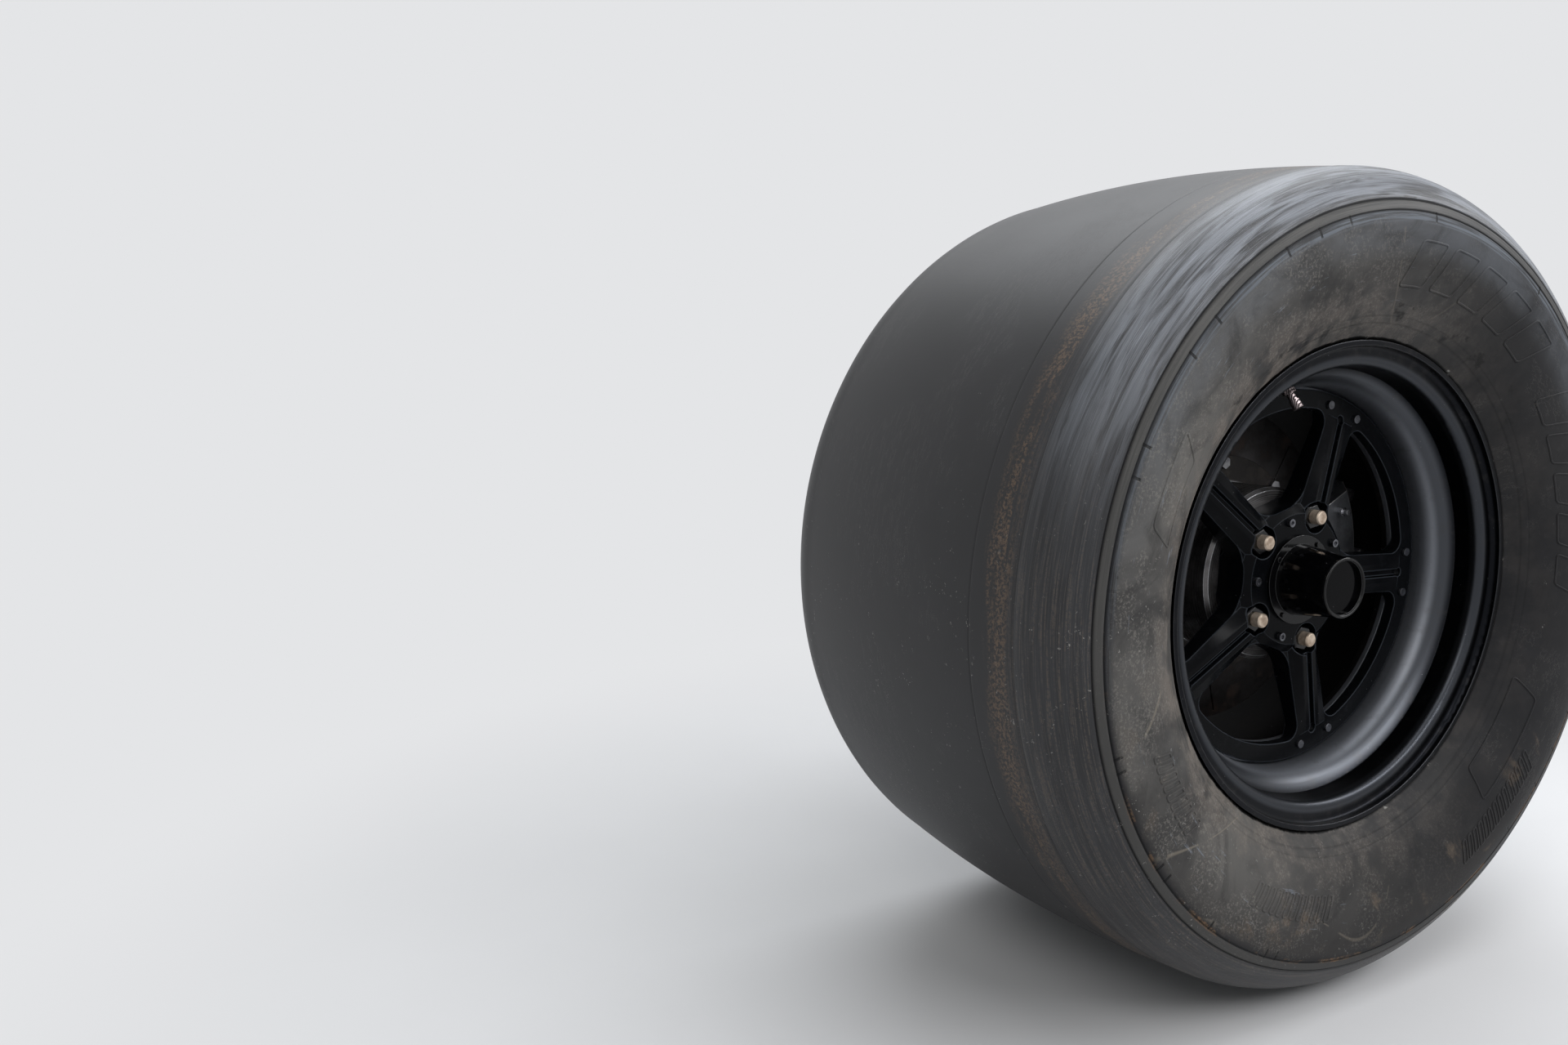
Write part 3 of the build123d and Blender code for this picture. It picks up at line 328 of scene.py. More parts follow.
def rib_wear_sheen_and_dirt(tree, at, tone, zone, colour):
    """Rib between two lines, paler by wear and painted light, a painted sheen inside, brown dirt.

    The dirt lies on the edge of the tread, and low down in the rib's inner line."""
    rib = band(tree, at.radius, 308.6, 315.8, 0.3)
    # The rib is paler by wear, and more so high up and on the left as painted light.
    rubbed_and_lit = product(tree, zone.high, fade(tree, tone.streaks, 0.4, 0.6), 0.4)
    rubbed_and_lit = plus(tree, rubbed_and_lit, 0.25, product(tree, zone.left, 0.35))
    colour = layer(tree, colour, rgb(82, 81, 79), rib, zone.front, rubbed_and_lit)
    # Painted sheen: a cool lighter ring just inside the rib, high up.
    inside = band(tree, at.radius, 300.0, 306.6, 2.0)
    streaks = fade(tree, tone.streaks, 0.42, 0.58)
    colour = layer(tree, colour, rgb(104, 110, 118), inside, streaks, zone.high, zone.front, 0.7)
    edge = band(tree, at.depth, 26.0, 50.0, 8.0)
    tread = fade(tree, at.radius, 336.0, 344.0)
    grit = fade(tree, tone.grit, 0.44, 0.6)
    patches = fade(tree, tone.patches, 0.38, 0.56)
    colour = layer(tree, colour, rgb(98, 80, 64), edge, tread, grit, patches, 0.85)
    line = band(tree, at.radius, 305.6, 309.4, 0.8)
    caked = fade(tree, tone.swirls, 0.5, 0.6)
    grit = fade(tree, tone.grit, 0.4, 0.55)
    return layer(tree, colour, rgb(104, 82, 62), line, zone.front, zone.low, caked, grit)


def scratched(tree, at, tone, zone, thin, colour):
    """Hairs, thin scratches and scrapes, and dark wiped stripes near the bead."""
    hair = band(tree, tone.bends, 0.4985, 0.5015, 0.0012)
    swirls = fade(tree, tone.swirls, 0.5, 0.56)
    colour = layer(tree, colour, rgb(128, 120, 108), hair, swirls, zone.wall, zone.left, 0.5)
    colour = layer(tree, colour, rgb(126, 122, 116), thin, 0.45)
    scrape = fade(tree, tone.scrapes, 0.63, 0.69)
    ring = band(tree, at.radius, 236.0, 296.0, 8.0)
    colour = layer(tree, colour, rgb(118, 124, 133), scrape, ring, zone.left, 0.6)
    ring = band(tree, at.radius, 214.0, 238.0, 5.0)
    wiped = fade(tree, tone.stripes, 0.58, 0.66)
    return layer(tree, colour, rgb(20, 20, 20), ring, wiped, zone.front, zone.high, 0.8)


def dark_lines(tree, at, zone, tick, colour):
    """Short ticks across the rib's inner line, lines pressed into wall and tread: painted shade.
    """
    # Painted shade: ticks and pressed lines darkened where their grooves lie in shade.
    colour = layer(tree, colour, rgb(14, 14, 15), tick, 0.85)
    for radius, width, deep in SIDEWALL_LINES:
        line = band(tree, at.radius, radius - width, radius + width, width * 0.5)
        colour = layer(tree, colour, rgb(11, 11, 12), line, zone.front, min(0.65, deep))
    for depth, width, _ in TREAD_LINES:
        line = band(tree, at.depth, depth - width * 0.5, depth + width * 0.5, width * 0.4)
        tread = fade(tree, at.radius, 338.0, 342.0)
        colour = layer(tree, colour, rgb(18, 18, 19), line, tread, 0.6)
    return colour


def rim_shade_crumbs_and_powder(tree, at, tone, zone, colour):
    """Dark ragged line of painted shade at the rim, pale chips, crumbs, nicks and fine powder."""
    # Painted shade in the gap between tyre and rim, wider on the left.
    shade_raggedness = plus(tree, product(tree, zone.left, 9.0), 2.0)
    ragged = plus(tree, at.radius, product(tree, minus(tree, tone.dust, 0.5), shade_raggedness))
    near_rim = fade(tree, ragged, 210.6, 209.4)
    colour = layer(tree, colour, rgb(9, 9, 9), near_rim, fade(tree, at.depth, 14.0, 10.0))
    chips = specks(tree, at.place, 95.0, 0.3)
    foot = band(tree, at.radius, 208.2, 211.4, 0.5)
    dust = fade(tree, tone.dust, 0.5, 0.56)
    colour = layer(tree, colour, rgb(140, 138, 134), chips, foot, dust)
    grains = shaken(tree, at.place)
    crumbs = specks(tree, grains, 150.0, 0.17)
    swirls = fade(tree, tone.swirls, 0.49, 0.58)
    colour = layer(tree, colour, rgb(140, 138, 134), crumbs, swirls, zone.left, zone.lower, 0.8)
    nicks = specks(tree, grains, 70.0, 0.06)
    dust = fade(tree, tone.dust, 0.54, 0.6)
    colour = layer(tree, colour, rgb(130, 129, 126), nicks, dust, 0.7)
    grit = fade(tree, tone.grit, 0.5, 0.6)
    dust = fade(tree, tone.dust, 0.44, 0.56)
    return layer(tree, colour, rgb(132, 128, 122), zone.wall, zone.left, grit, dust, 0.35)


def tyre_rubber(name, level):
    """Worn dusty rubber, layer over layer, by zones of radius, depth, side and height."""
    material, tree, shader = new_finish(name, {"Specular IOR Level": level})
    at = turned(tree)
    tone = tyre_noises(tree, at)
    zone = tyre_zones(tree, at, tone)
    scratch = band(tree, tone.scratches, 0.498, 0.502, 0.0015)
    thin = product(tree, scratch, fade(tree, tone.clouds, 0.5, 0.6))
    marks = put(tree, "TexVoronoi", {"W": at.angle, "Scale": 6.0}, voronoi_dimensions="1D")
    short = fade(tree, marks.outputs["Distance"], 0.028, 0.018)
    ring = band(tree, at.radius, 301.0, 309.0, 0.8)
    tick = product(tree, short, ring, fade(tree, tone.clouds, 0.42, 0.46), zone.front)

    clouds = fade(tree, tone.clouds, 0.35, 0.65)
    colour = mix(tree, clouds, rgb(23, 23, 25), rgb(33, 33, 35))
    colour = wall_dust_sheen_and_shade(tree, at, tone, zone, colour)
    colour = streaked_shoulder(tree, tone, zone, colour)
    colour = rib_wear_sheen_and_dirt(tree, at, tone, zone, colour)
    colour = scratched(tree, at, tone, zone, thin, colour)
    colour = dark_lines(tree, at, zone, tick, colour)
    colour = rim_shade_crumbs_and_powder(tree, at, tone, zone, colour)

    rough = plus(tree, product(tree, tone.clouds, 0.16), 0.4)
    rough = minus(tree, rough, product(tree, zone.shoulder, 0.06))
    rough = plus(tree, rough, product(tree, zone.film, 0.12))
    height = plus(
        tree,
        product(tree, tone.grit, 0.3),
        product(tree, tone.streaks, zone.shoulder, 0.8),
        product(tree, tone.fine, zone.shoulder, 0.5),
        product(tree, tone.swirls, zone.wall, 0.6),
    )
    height = minus(tree, height, product(tree, tick, 1.5))
    height = minus(tree, height, product(tree, thin, 0.3))
    join(tree, shader, colour, rough, bump(tree, height, 0.45, 0.0006))
    return material


# Finishes of the paint and the metals


def paint_noises(tree, at):
    """Dust, wiping marks and orange peel of a painted piece."""
    dust = noise(tree, at.place, 70.0, 6.0, 0.7)
    wiped = noise(tree, swept(tree, at, 3.0, 0.25), 1.0, 4.0, 0.55)
    orange_peel = noise(tree, at.place, 480.0, 2.0, 0.5)
    return dust, wiped, orange_peel


def black_paint(name, base, dusty, level, rough, edge, peel=0.05, wear_and_highlight=rgb(20, 20, 22)):
    """Black paint with fine dust, a faint orange peel and lighter rounded edges."""
    material, tree, shader = new_finish(name, {"Specular IOR Level": level})
    at = turned(tree)
    dust, wiped, orange_peel = paint_noises(tree, at)
    colour = mix(tree, fade(tree, dust, 0.5, 0.82), base, dusty)
    # Edges lighter: wear, and a painted highlight along them.
    colour = layer(tree, colour, wear_and_highlight, edges(tree, edge))
    colour = layer(tree, colour, rgb(130, 130, 132), specks(tree, at.place, 110.0, 0.05), 0.4)
    shade = plus(tree, product(tree, dust, 0.08), rough - 0.07, product(tree, wiped, 0.06))
    normal = bump(tree, orange_peel, peel, 0.0003, rounded_edge(tree, edge))
    join(tree, shader, colour, shade, normal)
    return material


def satin_dish():
    """Satin black of the outer rim half, its shine set by zone to paint highlights and shade.

    Its colour is what it mirrors: little on the lip's face and the bead seat, more on the
    rolled lip and the slope, and most on the long round that leads into the well."""
    material, tree, shader = new_finish("dish_paint", {"Metallic": 1.0})
    at = turned(tree)
    dust, wiped, orange_peel = paint_noises(tree, at)
    # Painted highlight and shade: more reflectance on the rolled lip and slope, less on the lip's
    # face and the bead seat.
    slope = fade(tree, at.depth, 31.0, 36.0)
    roll = product(tree, fade(tree, at.radius, 196.0, 192.0), fade(tree, at.depth, 19.0, 15.0))
    highlight_reflectance = mix(tree, slope, rgb(56, 58, 62), rgb(67, 69, 73))
    colour = mix(tree, calc(tree, "MAXIMUM", slope, roll), rgb(23, 24, 27), highlight_reflectance)
    # Painted highlight: the long round into the well mirrors most.
    colour = layer(tree, colour, rgb(122, 125, 131), fade(tree, at.depth, 39.0, 46.0))
    # Painted highlight along the edges.
    colour = layer(tree, colour, rgb(68, 69, 72), edges(tree, 0.0012))
    colour = layer(tree, colour, rgb(66, 64, 62), fade(tree, dust, 0.5, 0.8), 0.35)
    colour = layer(tree, colour, rgb(150, 150, 152), specks(tree, at.place, 110.0, 0.05), 0.4)
    into_well = product(tree, fade(tree, at.depth, 38.0, 46.0), 0.14)
    shade = plus(tree, product(tree, dust, 0.08), 0.27, product(tree, wiped, 0.06), into_well)
    normal = bump(tree, orange_peel, 0.05, 0.0003, rounded_edge(tree, 0.0016))
    join(tree, shader, colour, shade, normal)
    return material


def tool_marks(tree, at):
    """Noise of the fine rings left by turning."""
    return noise(tree, swept(tree, at, 0.6, 2.4), 1.0, 3.0, 0.6)


def turned_metal(name, light, dark, rough, rust=0.0):
    """Machined metal with fine turned lines, and rust where asked."""
    material, tree, shader = new_finish(name)
    at = turned(tree)
    lines = tool_marks(tree, at)
    clouds = noise(tree, at.place, 30.0, 5.0, 0.65)
    colour = mix(tree, fade(tree, clouds, 0.35, 0.7), light, dark)
    patch = product(tree, fade(tree, clouds, 0.5, 0.66), rust)
    colour = layer(tree, colour, rgb(66, 50, 42), patch)
    shade = plus(tree, product(tree, lines, 0.2), rough)
    normal = bump(tree, lines, 0.12, 0.0002, rounded_edge(tree, 0.0004))
    join(tree, shader, colour, shade, normal, minus(tree, 1.0, patch))
    return material


def cast_metal(name, light, dark, rough, metallic, grain=700.0, depth=0.0005, wear_and_highlight=None):
    """Cast or forged skin with a fine grain and stains, and bare edges in painted highlight where
    asked.
    """
    material, tree, shader = new_finish(name, {"Metallic": metallic})
    at = turned(tree)
    clouds = noise(tree, at.place, 24.0, 5.0, 0.65)
    skin = noise(tree, at.place, grain, 4.0, 0.6)
    colour = mix(tree, fade(tree, clouds, 0.35, 0.7), light, dark)
    # Where asked, bare edges lighter: wear, and a painted highlight along them.
    if wear_and_highlight is not None:
        colour = layer(tree, colour, wear_and_highlight, edges(tree, 0.0016))
    shade = plus(tree, product(tree, skin, 0.25), rough)
    normal = bump(tree, skin, 0.5, depth, rounded_edge(tree, 0.0008))
    join(tree, shader, colour, shade, normal)
    return material


def hat_alloy():
    """Turned alloy of the hat, bright on its wall and dark with brake dust on its flange."""
    material, tree, shader = new_finish("hat_alloy")
    at = turned(tree)
    lines = tool_marks(tree, at)
    clouds = noise(tree, at.place, 40.0, 5.0, 0.65)
    bright = mix(tree, fade(tree, clouds, 0.35, 0.7), rgb(108, 106, 106), rgb(70, 68, 68))
    # Painted highlights: pale lines along the edges of the wall.
    bright = layer(tree, bright, rgb(210, 212, 216), edges(tree, 0.0014))
    dusty = mix(tree, fade(tree, clouds, 0.4, 0.65), rgb(40, 36, 34), rgb(66, 60, 56))
    flange = fade(tree, at.radius, 78.3, 80.5)
    metal = minus(tree, 0.65, product(tree, flange, 0.2))
    shade = plus(tree, product(tree, lines, 0.2), 0.18, product(tree, flange, 0.12))
    normal = bump(tree, lines, 0.12, 0.0002, rounded_edge(tree, 0.0004))
    join(tree, shader, mix(tree, flange, bright, dusty), shade, normal, metal)
    return material


def threaded(name, light, dark, rough, metallic=1.0):
    """Plated steel with the rings of a thread along the axle."""
    material, tree, shader = new_finish(name, {"Metallic": metallic})
    at = turned(tree)
    wave = calc(tree, "SINE", product(tree, at.depth, 2 * math.pi / THREAD_PITCH))
    clouds = noise(tree, at.place, 160.0, 4.0, 0.6)
    colour = mix(tree, fade(tree, clouds, 0.35, 0.7), light, dark)
    shade = plus(tree, product(tree, clouds, 0.2), rough)
    normal = bump(tree, wave, 0.35, 0.0003, rounded_edge(tree, 0.0005))
    join(tree, shader, colour, shade, normal)
    return material


# Meshes


def surface(name, grid):
    """Mesh of quads on a grid of points in metres, which closes on itself both ways.

    A grid with one more axis in front is a row of separate grids of one size."""
    rows, columns = grid.shape[-3:-1]
    copies = grid.size // (rows * columns * 3)
    first, second = np.meshgrid(np.arange(rows), np.arange(columns), indexing="ij")
    after, beside = (first + 1) % rows, (second + 1) % columns
    corners = [
        first * columns + second,
        after * columns + second,
        after * columns + beside,
        first * columns + beside,
    ]
    quads = np.stack(corners, -1).reshape(-1, 4)
    quads = (np.arange(copies)[:, None, None] * rows * columns + quads).reshape(-1, 4)
    mesh = bpy.data.meshes.new(name)
    mesh.vertices.add(copies * rows * columns)
    mesh.vertices.foreach_set("co", grid.reshape(-1))
    mesh.loops.add(quads.size)
    mesh.loops.foreach_set("vertex_index", quads.reshape(-1))
    mesh.polygons.add(len(quads))
    mesh.polygons.foreach_set("loop_start", np.arange(len(quads)) * 4)
    mesh.update(calc_edges=True)
    mesh.shade_smooth()
    piece = bpy.data.objects.new(name, mesh)
    bpy.context.scene.collection.objects.link(piece)
    return piece


def round_axle(radius, depth, angle):
    """Points in metres at a radius, depth and angle: x and z go round, y goes inboard."""
    radius, depth, angle = np.broadcast_arrays(radius, depth, angle)
    point = [radius * np.cos(angle), depth - LIP_TO_MOUNT, radius * np.sin(angle)]
    return np.stack(point, -1) * MM


def full_turn(count):
    """Even angles of one whole turn."""
    return np.linspace(0.0, 2 * math.pi, count, endpoint=False)


def reaches(line):
    """Distance of each point of a line from its start, along the line."""
    lengths = np.linalg.norm(np.diff(line, axis=0), axis=1)
    return np.concatenate([[0.0], lengths.cumsum()])


def points_at(line, stops):
    """Points of a line at distances along it, straight between its own points."""
    along = reaches(line)
    return np.stack([np.interp(stops, along, line[:, side]) for side in (0, 1)], -1)


def quarter_turned(steps):
    """Steps of a line at length one, each turned a quarter turn."""
    steps = steps / np.linalg.norm(steps, axis=1, keepdims=True)
    return np.stack([steps[:, 1], -steps[:, 0]], -1)


def level_centre(crest, end):
    """Centre of the circle that has its crest at one point and passes through another.

    The centre is inboard of the crest, by the squared distance between the points over
    twice the depth between them."""
    (crest_radius, crest_depth), (end_radius, end_depth) = crest, end
    gap = end_depth - crest_depth
    return crest_radius, crest_depth + ((end_radius - crest_radius) ** 2 + gap**2) / (2 * gap)


def arc(centre, start, end):
    """Points of radius and depth on a circle, the short way from start up to before end."""
    (cr, cd), (sr, sd), (er, ed) = centre, start, end
    size = math.hypot(sr - cr, sd - cd)
    first = math.atan2(sd - cd, sr - cr)
    last = math.atan2(ed - cd, er - cr)
    last += 2 * math.pi * round((first - last) / (2 * math.pi))
    turn = np.linspace(first, last, ARC_POINTS, endpoint=False)
    return np.stack([cr + size * np.cos(turn), cd + size * np.sin(turn)], -1)


WALL_CENTRE = level_centre(BULGE, SIDEWALL_FOOT)
CORNER_CENTRE = level_centre(BULGE, SHOULDER)
# Radius and depth of the points of the bead, and of the inside of the wall and tread
BEAD = (
    (205.0, 9.0),
    (198.6, 12.3),
    (191.6, 12.3),
    (BEAD_SEAT, 13.5),
    (BEAD_SEAT, 34.0),
    (207.4, 18.0),
)
INSIDE = ((250.1, -17.0), (296.0, -28.0), (326.0, -13.0), (337.0, 24.0), (345.6, TREAD_MIDDLE))
# A point in the tyre's hollow
HOLLOW = (290.0, 120.0)
# Places of the points that draw a pressed line, in half widths from its middle
BELL_POINTS = np.linspace(-2.4, 2.4, 11)
# Number of the other points on the outer line and on its mirror image
OUTER_POINTS = 70
BACK_POINTS = 60


def wall_depth(radius):
    """Depth of the bare outer sidewall: the lower or the upper circle of its section."""
    centre = np.where(radius < BULGE[0], WALL_CENTRE[1], CORNER_CENTRE[1])
    return centre - np.sqrt((centre - BULGE[1]) ** 2 - (radius - BULGE[0]) ** 2)


def outer_line():
    """Three arcs up the outer wall, round the shoulder and across to the tread's middle.

    The tread's centre lies under its middle, at half the rise plus the squared run over
    twice the rise."""
    tread = (TYRE_RADIUS, TREAD_MIDDLE)
    rise, run = tread[0] - SHOULDER[0], tread[1] - SHOULDER[1]
    crown = (tread[0] - (run**2 + rise**2) / (2 * rise), tread[1])
    wall = arc(WALL_CENTRE, SIDEWALL_FOOT, BULGE)
    corner = arc(CORNER_CENTRE, BULGE, SHOULDER)
    return np.concatenate([wall, corner, arc(crown, SHOULDER, tread), [tread]])


def pressed_lines(line, along):
    """Distance along the outer line, half width and groove depth of each pressed line."""
    wall = 2 * ARC_POINTS
    lines = []
    for radius, width, deep in SIDEWALL_LINES:
        nearest = np.argmin(np.abs(line[:wall, 0] - radius))
        lines.append((along[nearest], width, deep))
    for depth, width, deep in TREAD_LINES:
        nearest = wall + np.argmin(np.abs(line[wall:, 1] - depth))
        lines.append((along[nearest], width, deep))
    return lines


def mirrored(line):
    """Line on the other side of the tread's middle."""
    return line * (1, -1) + (0, 2 * TREAD_MIDDLE)


def tyre_profile():
    """Closed section of the tyre, in millimetres of radius and depth.

    The points of the outer line are close together where a line is pressed in along the
    normal, as a narrow bell of the distance along the section. The other side is the plain
    outer line mirrored, and the inside is straight between a few points."""
    line = outer_line()
    along = reaches(line)
    lines = pressed_lines(line, along)
    stops = [place + BELL_POINTS * width for place, width, _ in lines]
    stops = np.concatenate([np.linspace(0.0, along[-1], OUTER_POINTS)] + stops)
    stops = np.unique(np.round(stops, 3))
    stops = stops[(stops >= 0.0) & (stops <= along[-1])]
    outer = points_at(line, stops)
    inward = quarter_turned(np.gradient(outer, axis=0))
    inward *= -np.sign((inward * (outer - HOLLOW)).sum(1, keepdims=True))
    press = sum(deep * np.exp(-(((stops - place) / width) ** 2)) for place, width, deep in lines)
    outer = outer + inward * press[:, None]
    plain = points_at(line, np.linspace(0.0, along[-1], BACK_POINTS))
    inner = np.array(BEAD + INSIDE)
    return np.concatenate([outer, mirrored(plain[-2::-1]), mirrored(inner[:-1]), inner[::-1]])


TYRE_SEGMENTS = 300
# Angle in degrees, radius, number, length and height of the blocks in each row on the sidewall
BLOCK_ROWS = (
    (66.0, 268.0, 5, 30.0, 36.0),
    (14.0, 268.0, 5, 30.0, 36.0),
    (-40.0, 246.0, 1, 104.0, 26.0),
    (-52.0, 278.0, 14, 5.0, 18.0),
    (-112.0, 264.0, 12, 5.0, 20.0),
    (-152.0, 262.0, 9, 5.0, 20.0),
    (156.0, 262.0, 1, 70.0, 26.0),
)
BLOCK_SLANT = 0.45
BLOCK_CORNER = 3.0
# Half width, height, points round a block and points round the section of its outline
OUTLINE_HALF_WIDTH = 1.0
OUTLINE_HEIGHT = 0.6
OUTLINE_POINTS = 120
OUTLINE_SIDES = 10


def slick_tyre(wall_rubber, tread_rubber):
    """Tyre turned from its section, with one finish inside the rib's edge and one beyond."""
    section = tyre_profile()
    angles = full_turn(TYRE_SEGMENTS)[:, None]
    tyre = surface("slick_tyre", round_axle(section[:, 0], section[:, 1], angles))
    tyre.data.materials.append(wall_rubber)
    tyre.data.materials.append(tread_rubber)
    beyond_rib = (section[:, 0] + np.roll(section[:, 0], -1)) / 2 > RIB_EDGE
    finish = np.tile(beyond_rib, TYRE_SEGMENTS).astype(np.int32)
    tyre.data.polygons.foreach_set("material_index", finish)
    return tyre


def block_outlines(name, middle, radius, count, length, height):
    """Row of plain slanted blocks on the bare wall, each drawn by a low raised line.

    A rounded rectangle, sheared by the slant, is laid along the turn of the wall, once for
    each block. A small oval section, half sunk in the wall, is carried round it, and stands
    off along the wall's own normal."""
    corner = min(BLOCK_CORNER, length / 3)
    gap = 0.3 * length + 2.0
    turn = full_turn(160)
    flat = np.stack([np.cos(turn), np.sin(turn)], -1)
    path = np.sign(flat) * (length / 2 - corner, height / 2 - corner) + flat * corner
    path[:, 0] -= BLOCK_SLANT * path[:, 1]
    loop = np.concatenate([path, path[:1]])
    stops = np.linspace(0.0, reaches(loop)[-1], OUTLINE_POINTS, endpoint=False)
    path = points_at(loop, stops)
    side = quarter_turned(np.roll(path, -1, axis=0) - np.roll(path, 1, axis=0))
    lap = full_turn(OUTLINE_SIDES)
    offset, proud = OUTLINE_HALF_WIDTH * np.cos(lap), OUTLINE_HEIGHT * np.sin(lap)
    spread = path[:, None] + side[:, None] * offset[:, None]
    places = (np.arange(count) - (count - 1) / 2) * (length + gap)
    r = radius + spread[..., 1]
    angle = math.radians(middle) + (spread[..., 0] + places[:, None, None]) / radius
    step = 0.1
    slope = (wall_depth(r + step) - wall_depth(r - step)) / (2 * step)
    tilt = np.sqrt(1 + slope**2)
    radii, depths = r + slope / tilt * proud, wall_depth(r) - proud / tilt
    return surface(name, round_axle(radii, depths, angle))


wall_rubber = tyre_rubber("wall_rubber", 0.12)
tread_rubber = tyre_rubber("tread_rubber", 0.4)
slick = slick_tyre(wall_rubber, tread_rubber)
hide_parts("tyre")
pieces = [slick]
for number, row in enumerate(BLOCK_ROWS, start=1):
    blocks = block_outlines("sidewall_blocks_%d" % number, *row)
    blocks.data.materials.append(wall_rubber)
    pieces.append(blocks)
for piece in pieces:
    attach(piece, "wheel")

# Finishes of the pieces that stay as the CAD made them

dish_paint = satin_dish()
barrel_paint = black_paint("barrel_paint", rgb(9, 8, 8), rgb(22, 19, 17), 0.03, 0.6, 0.0006)
centre_paint = black_paint(
    "centre_paint", rgb(7, 8, 10), rgb(18, 19, 22), 0.05, 0.24, 0.0018, wear_and_highlight=rgb(56, 60, 66)
)
cap_paint = black_paint(
    "cap_paint", rgb(4, 4, 5), rgb(12, 12, 14), 0.25, 0.1, 0.0006, 0.03, rgb(60, 60, 62)
)
plug_paint = black_paint("plug_paint", rgb(3, 3, 4), rgb(8, 8, 10), 0.06, 0.1, 0.0004, 0.03)
nut_black = black_paint(
    "black_nut", rgb(6, 6, 7), rgb(20, 20, 22), 0.35, 0.18, 0.0008, wear_and_highlight=rgb(50, 50, 52)
)
dark_bolt = threaded("dark_bolt", rgb(108, 109, 114), rgb(72, 72, 75), 0.2)
valve_rose = threaded("valve_metal", rgb(150, 138, 138), rgb(84, 78, 78), 0.24)
gold_stud = threaded("gold_stud", rgb(206, 190, 172), rgb(158, 138, 120), 0.34, 0.6)
bright_screw = threaded("bright_screw", rgb(190, 190, 192), rgb(140, 140, 145), 0.3)
turned_alloy = hat_alloy()
disc_face = turned_metal("disc_iron", rgb(84, 82, 82), rgb(46, 43, 42), 0.3, 0.6)
race_steel = turned_metal("race_steel", rgb(200, 200, 204), rgb(165, 165, 170), 0.18)
cast_grey = cast_metal(
    "caliper_cast", rgb(110, 112, 116), rgb(72, 73, 76), 0.34, 0.7, wear_and_highlight=rgb(206, 204, 203)
)
pad_block = cast_metal("pad_block", rgb(70, 66, 62), rgb(52, 50, 48), 0.7, 0.0, 900.0)
plate_steel = cast_metal("plate_steel", rgb(84, 86, 90), rgb(58, 58, 61), 0.4, 0.8, 300.0)
forged_steel = cast_metal(
    "forged_steel", rgb(96, 92, 88), rgb(66, 60, 56), 0.42, 0.85, 220.0, 0.0008
)
finishes = {
    dish_paint: ("rim_outer",),
    barrel_paint: ("rim_inner",),
    centre_paint: ("wheel_centre",),
    cap_paint: ("hub_cap", "cap_screws"),
    plug_paint: ("cap_plug",),
    nut_black: ("lug_nuts",),
    gold_stud: ("wheel_studs",),
    dark_bolt: ("ring_bolts", "hub_screws"),
    valve_rose: ("valve_stem", "valve_cap"),
    bright_screw: ("disc_bolts", "bridge_bolts", "ear_bolts"),
    turned_alloy: ("disc_hat",),
    disc_face: ("brake_disc",),
    cast_grey: ("caliper_outer", "caliper_inner"),
    pad_block: ("pad_friction",),
    plate_steel: ("pad_backing", "caliper_bracket", "bearing_retainer", "balance_weight"),
    race_steel: (
        "bearing_outer",
        "bearing_inner",
        "lock_collar",
        "pistons",
        "pad_pin",
        "caliper_fittings",
    ),
    forged_steel: ("axle_shaft",),
}
for finish, names in finishes.items():
    for name in names:
        materials = nodes[name].data.materials
        materials.clear()
        materials.append(finish)


# Floor, light and camera

PALE = rgb(228, 229, 231)
WORLD_LIGHT = (0.95, 0.98, 1.0, 1.0)
WORLD_STRENGTH = 0.3
FLOOR_HALF_WIDTH = 40.0
# Distances from the axle, in metres, between which the floor turns into the backdrop
FLOOR_FADE = (0.55, 1.25)
# Name, place, target, size, power and colour of each lamp
LAMPS = (
    ("bar", (1.2, -1.66, 1.27), (0.0, -0.1, 0.0), (3.2, 0.4), 43.0, (0.98, 0.985, 1.0)),
    ("ceiling", (0.0, -0.55, 2.1), (0.0, -0.1, 0.0), (2.2, 1.0), 14.0, (0.97, 0.98, 1.0)),
    ("key", (-1.9, -1.5, 1.9), (0.0, -0.1, 0.0), (1.2, 1.2), 15.0, (1.0, 0.99, 0.97)),
    ("top", (0.6, 0.75, 1.9), (0.0, 0.0, 0.1), (2.4, 1.3), 30.0, (0.94, 0.97, 1.0)),
)
LENS = 29.63
SENSOR_WIDTH = 36.0
CAMERA_PLACE = Matrix(
    (
        (0.87107, 0.0971, -0.48145, -0.93128),
        (-0.49045, 0.1195, -0.86324, -0.88148),
        (-0.02633, 0.9881, 0.15170, 0.23239),
        (0.0, 0.0, 0.0, 1.0),
    )
)


def seen(tree):
    """1 for what the camera, a glossy surface or a clear one looks at."""
    path = put(tree, "LightPath")
    both = plus(tree, path.outputs["Is Camera Ray"], path.outputs["Is Glossy Ray"])
    return calc(tree, "ADD", both, path.outputs["Is Transmission Ray"], clamp=True)


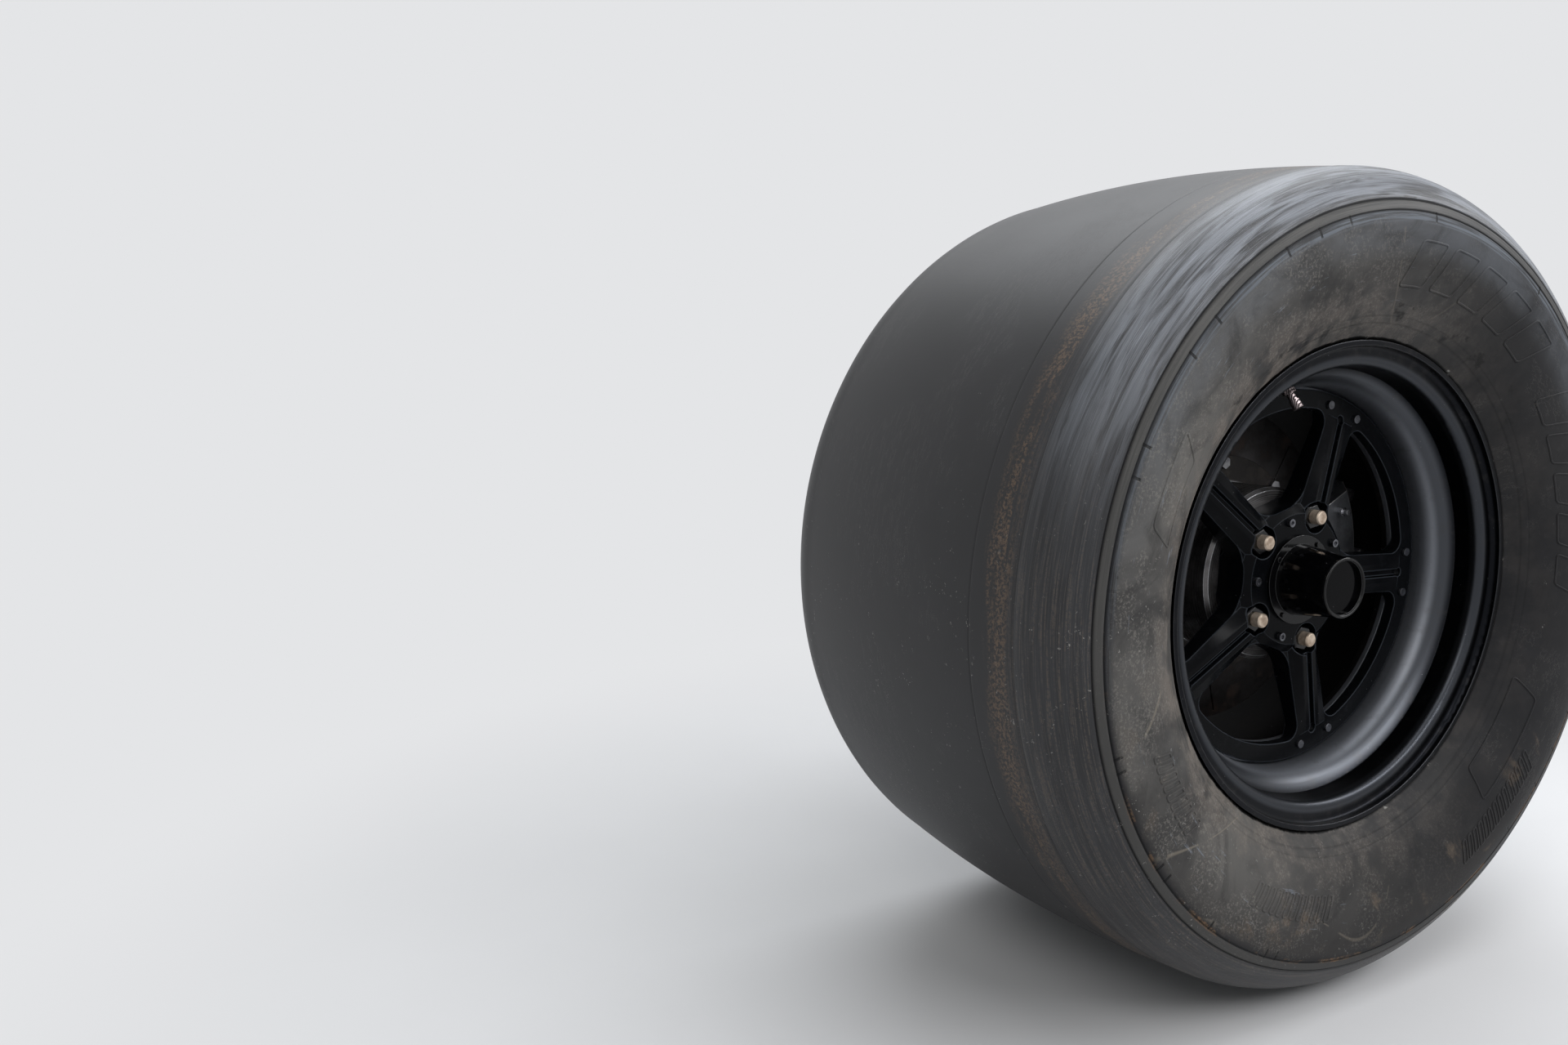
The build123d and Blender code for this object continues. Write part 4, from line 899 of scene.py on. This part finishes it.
def stage_floor():
    """Plain pale floor under the tyre, which turns into the backdrop's colour far away."""
    half, height = FLOOR_HALF_WIDTH, -TYRE_RADIUS * MM
    corners = [(x * half, y * half, height) for x, y in ((-1, -1), (1, -1), (1, 1), (-1, 1))]
    mesh = bpy.data.meshes.new("floor")
    mesh.from_pydata(corners, [], [(0, 1, 2, 3)])
    floor = bpy.data.objects.new("floor", mesh)
    bpy.context.scene.collection.objects.link(floor)
    sockets = {"Roughness": 0.5, "Specular IOR Level": 0.3}
    material, tree, shader = new_finish("floor_paint", sockets)
    place = put(tree, "TexCoord").outputs["Object"]
    clouds = noise(tree, place, 3.0, 3.0)
    join(tree, shader, mix(tree, clouds, rgb(216, 216, 217), rgb(226, 226, 227)))
    distance = put(tree, "VectorMath", {0: place}, operation="LENGTH").outputs["Value"]
    far = product(tree, fade(tree, distance, *FLOOR_FADE), seen(tree))
    backdrop_glow = put(tree, "Emission", {"Color": PALE, "Strength": 1.0}).outputs[0]
    both = put(tree, "MixShader", {0: far, 1: shader.outputs[0], 2: backdrop_glow})
    tree.links.new(both.outputs[0], tree.nodes["Material Output"].inputs["Surface"])
    mesh.materials.append(material)


def backdrop():
    """Pale background for the camera and for reflections, over a plain even light."""
    world = bpy.data.worlds.new("studio")
    bpy.context.scene.world = world
    world.use_nodes = True
    tree = world.node_tree
    tree.nodes.clear()
    shown = put(tree, "Background", {"Color": PALE, "Strength": 1.0})
    light = put(tree, "Background", {"Color": WORLD_LIGHT, "Strength": WORLD_STRENGTH})
    both = put(tree, "MixShader", {0: seen(tree), 1: light.outputs[0], 2: shown.outputs[0]})
    put(tree, "OutputWorld", {"Surface": both.outputs[0]})


def softbox(name, place, target, size, power, colour):
    """Rectangular area lamp that faces a point."""
    data = bpy.data.lights.new(name, "AREA")
    data.shape = "RECTANGLE"
    data.size, data.size_y = size
    data.energy = power
    data.color = colour
    lamp = bpy.data.objects.new(name, data)
    bpy.context.scene.collection.objects.link(lamp)
    aim = Vector(target) - Vector(place)
    turned_to = aim.to_track_quat("-Z", "Y").to_matrix().to_4x4()
    lamp.matrix_world = Matrix.Translation(place) @ turned_to


def add_camera():
    """Camera that looks at the wheel as in the photograph."""
    data = bpy.data.cameras.new("camera")
    data.lens = LENS
    data.sensor_width = SENSOR_WIDTH
    camera = bpy.data.objects.new("camera", data)
    bpy.context.scene.collection.objects.link(camera)
    camera.matrix_world = CAMERA_PLACE
    bpy.context.scene.camera = camera


stage_floor()
backdrop()
for lamp in LAMPS:
    softbox(*lamp)
add_camera()
bpy.context.scene.view_settings.view_transform = "Standard"
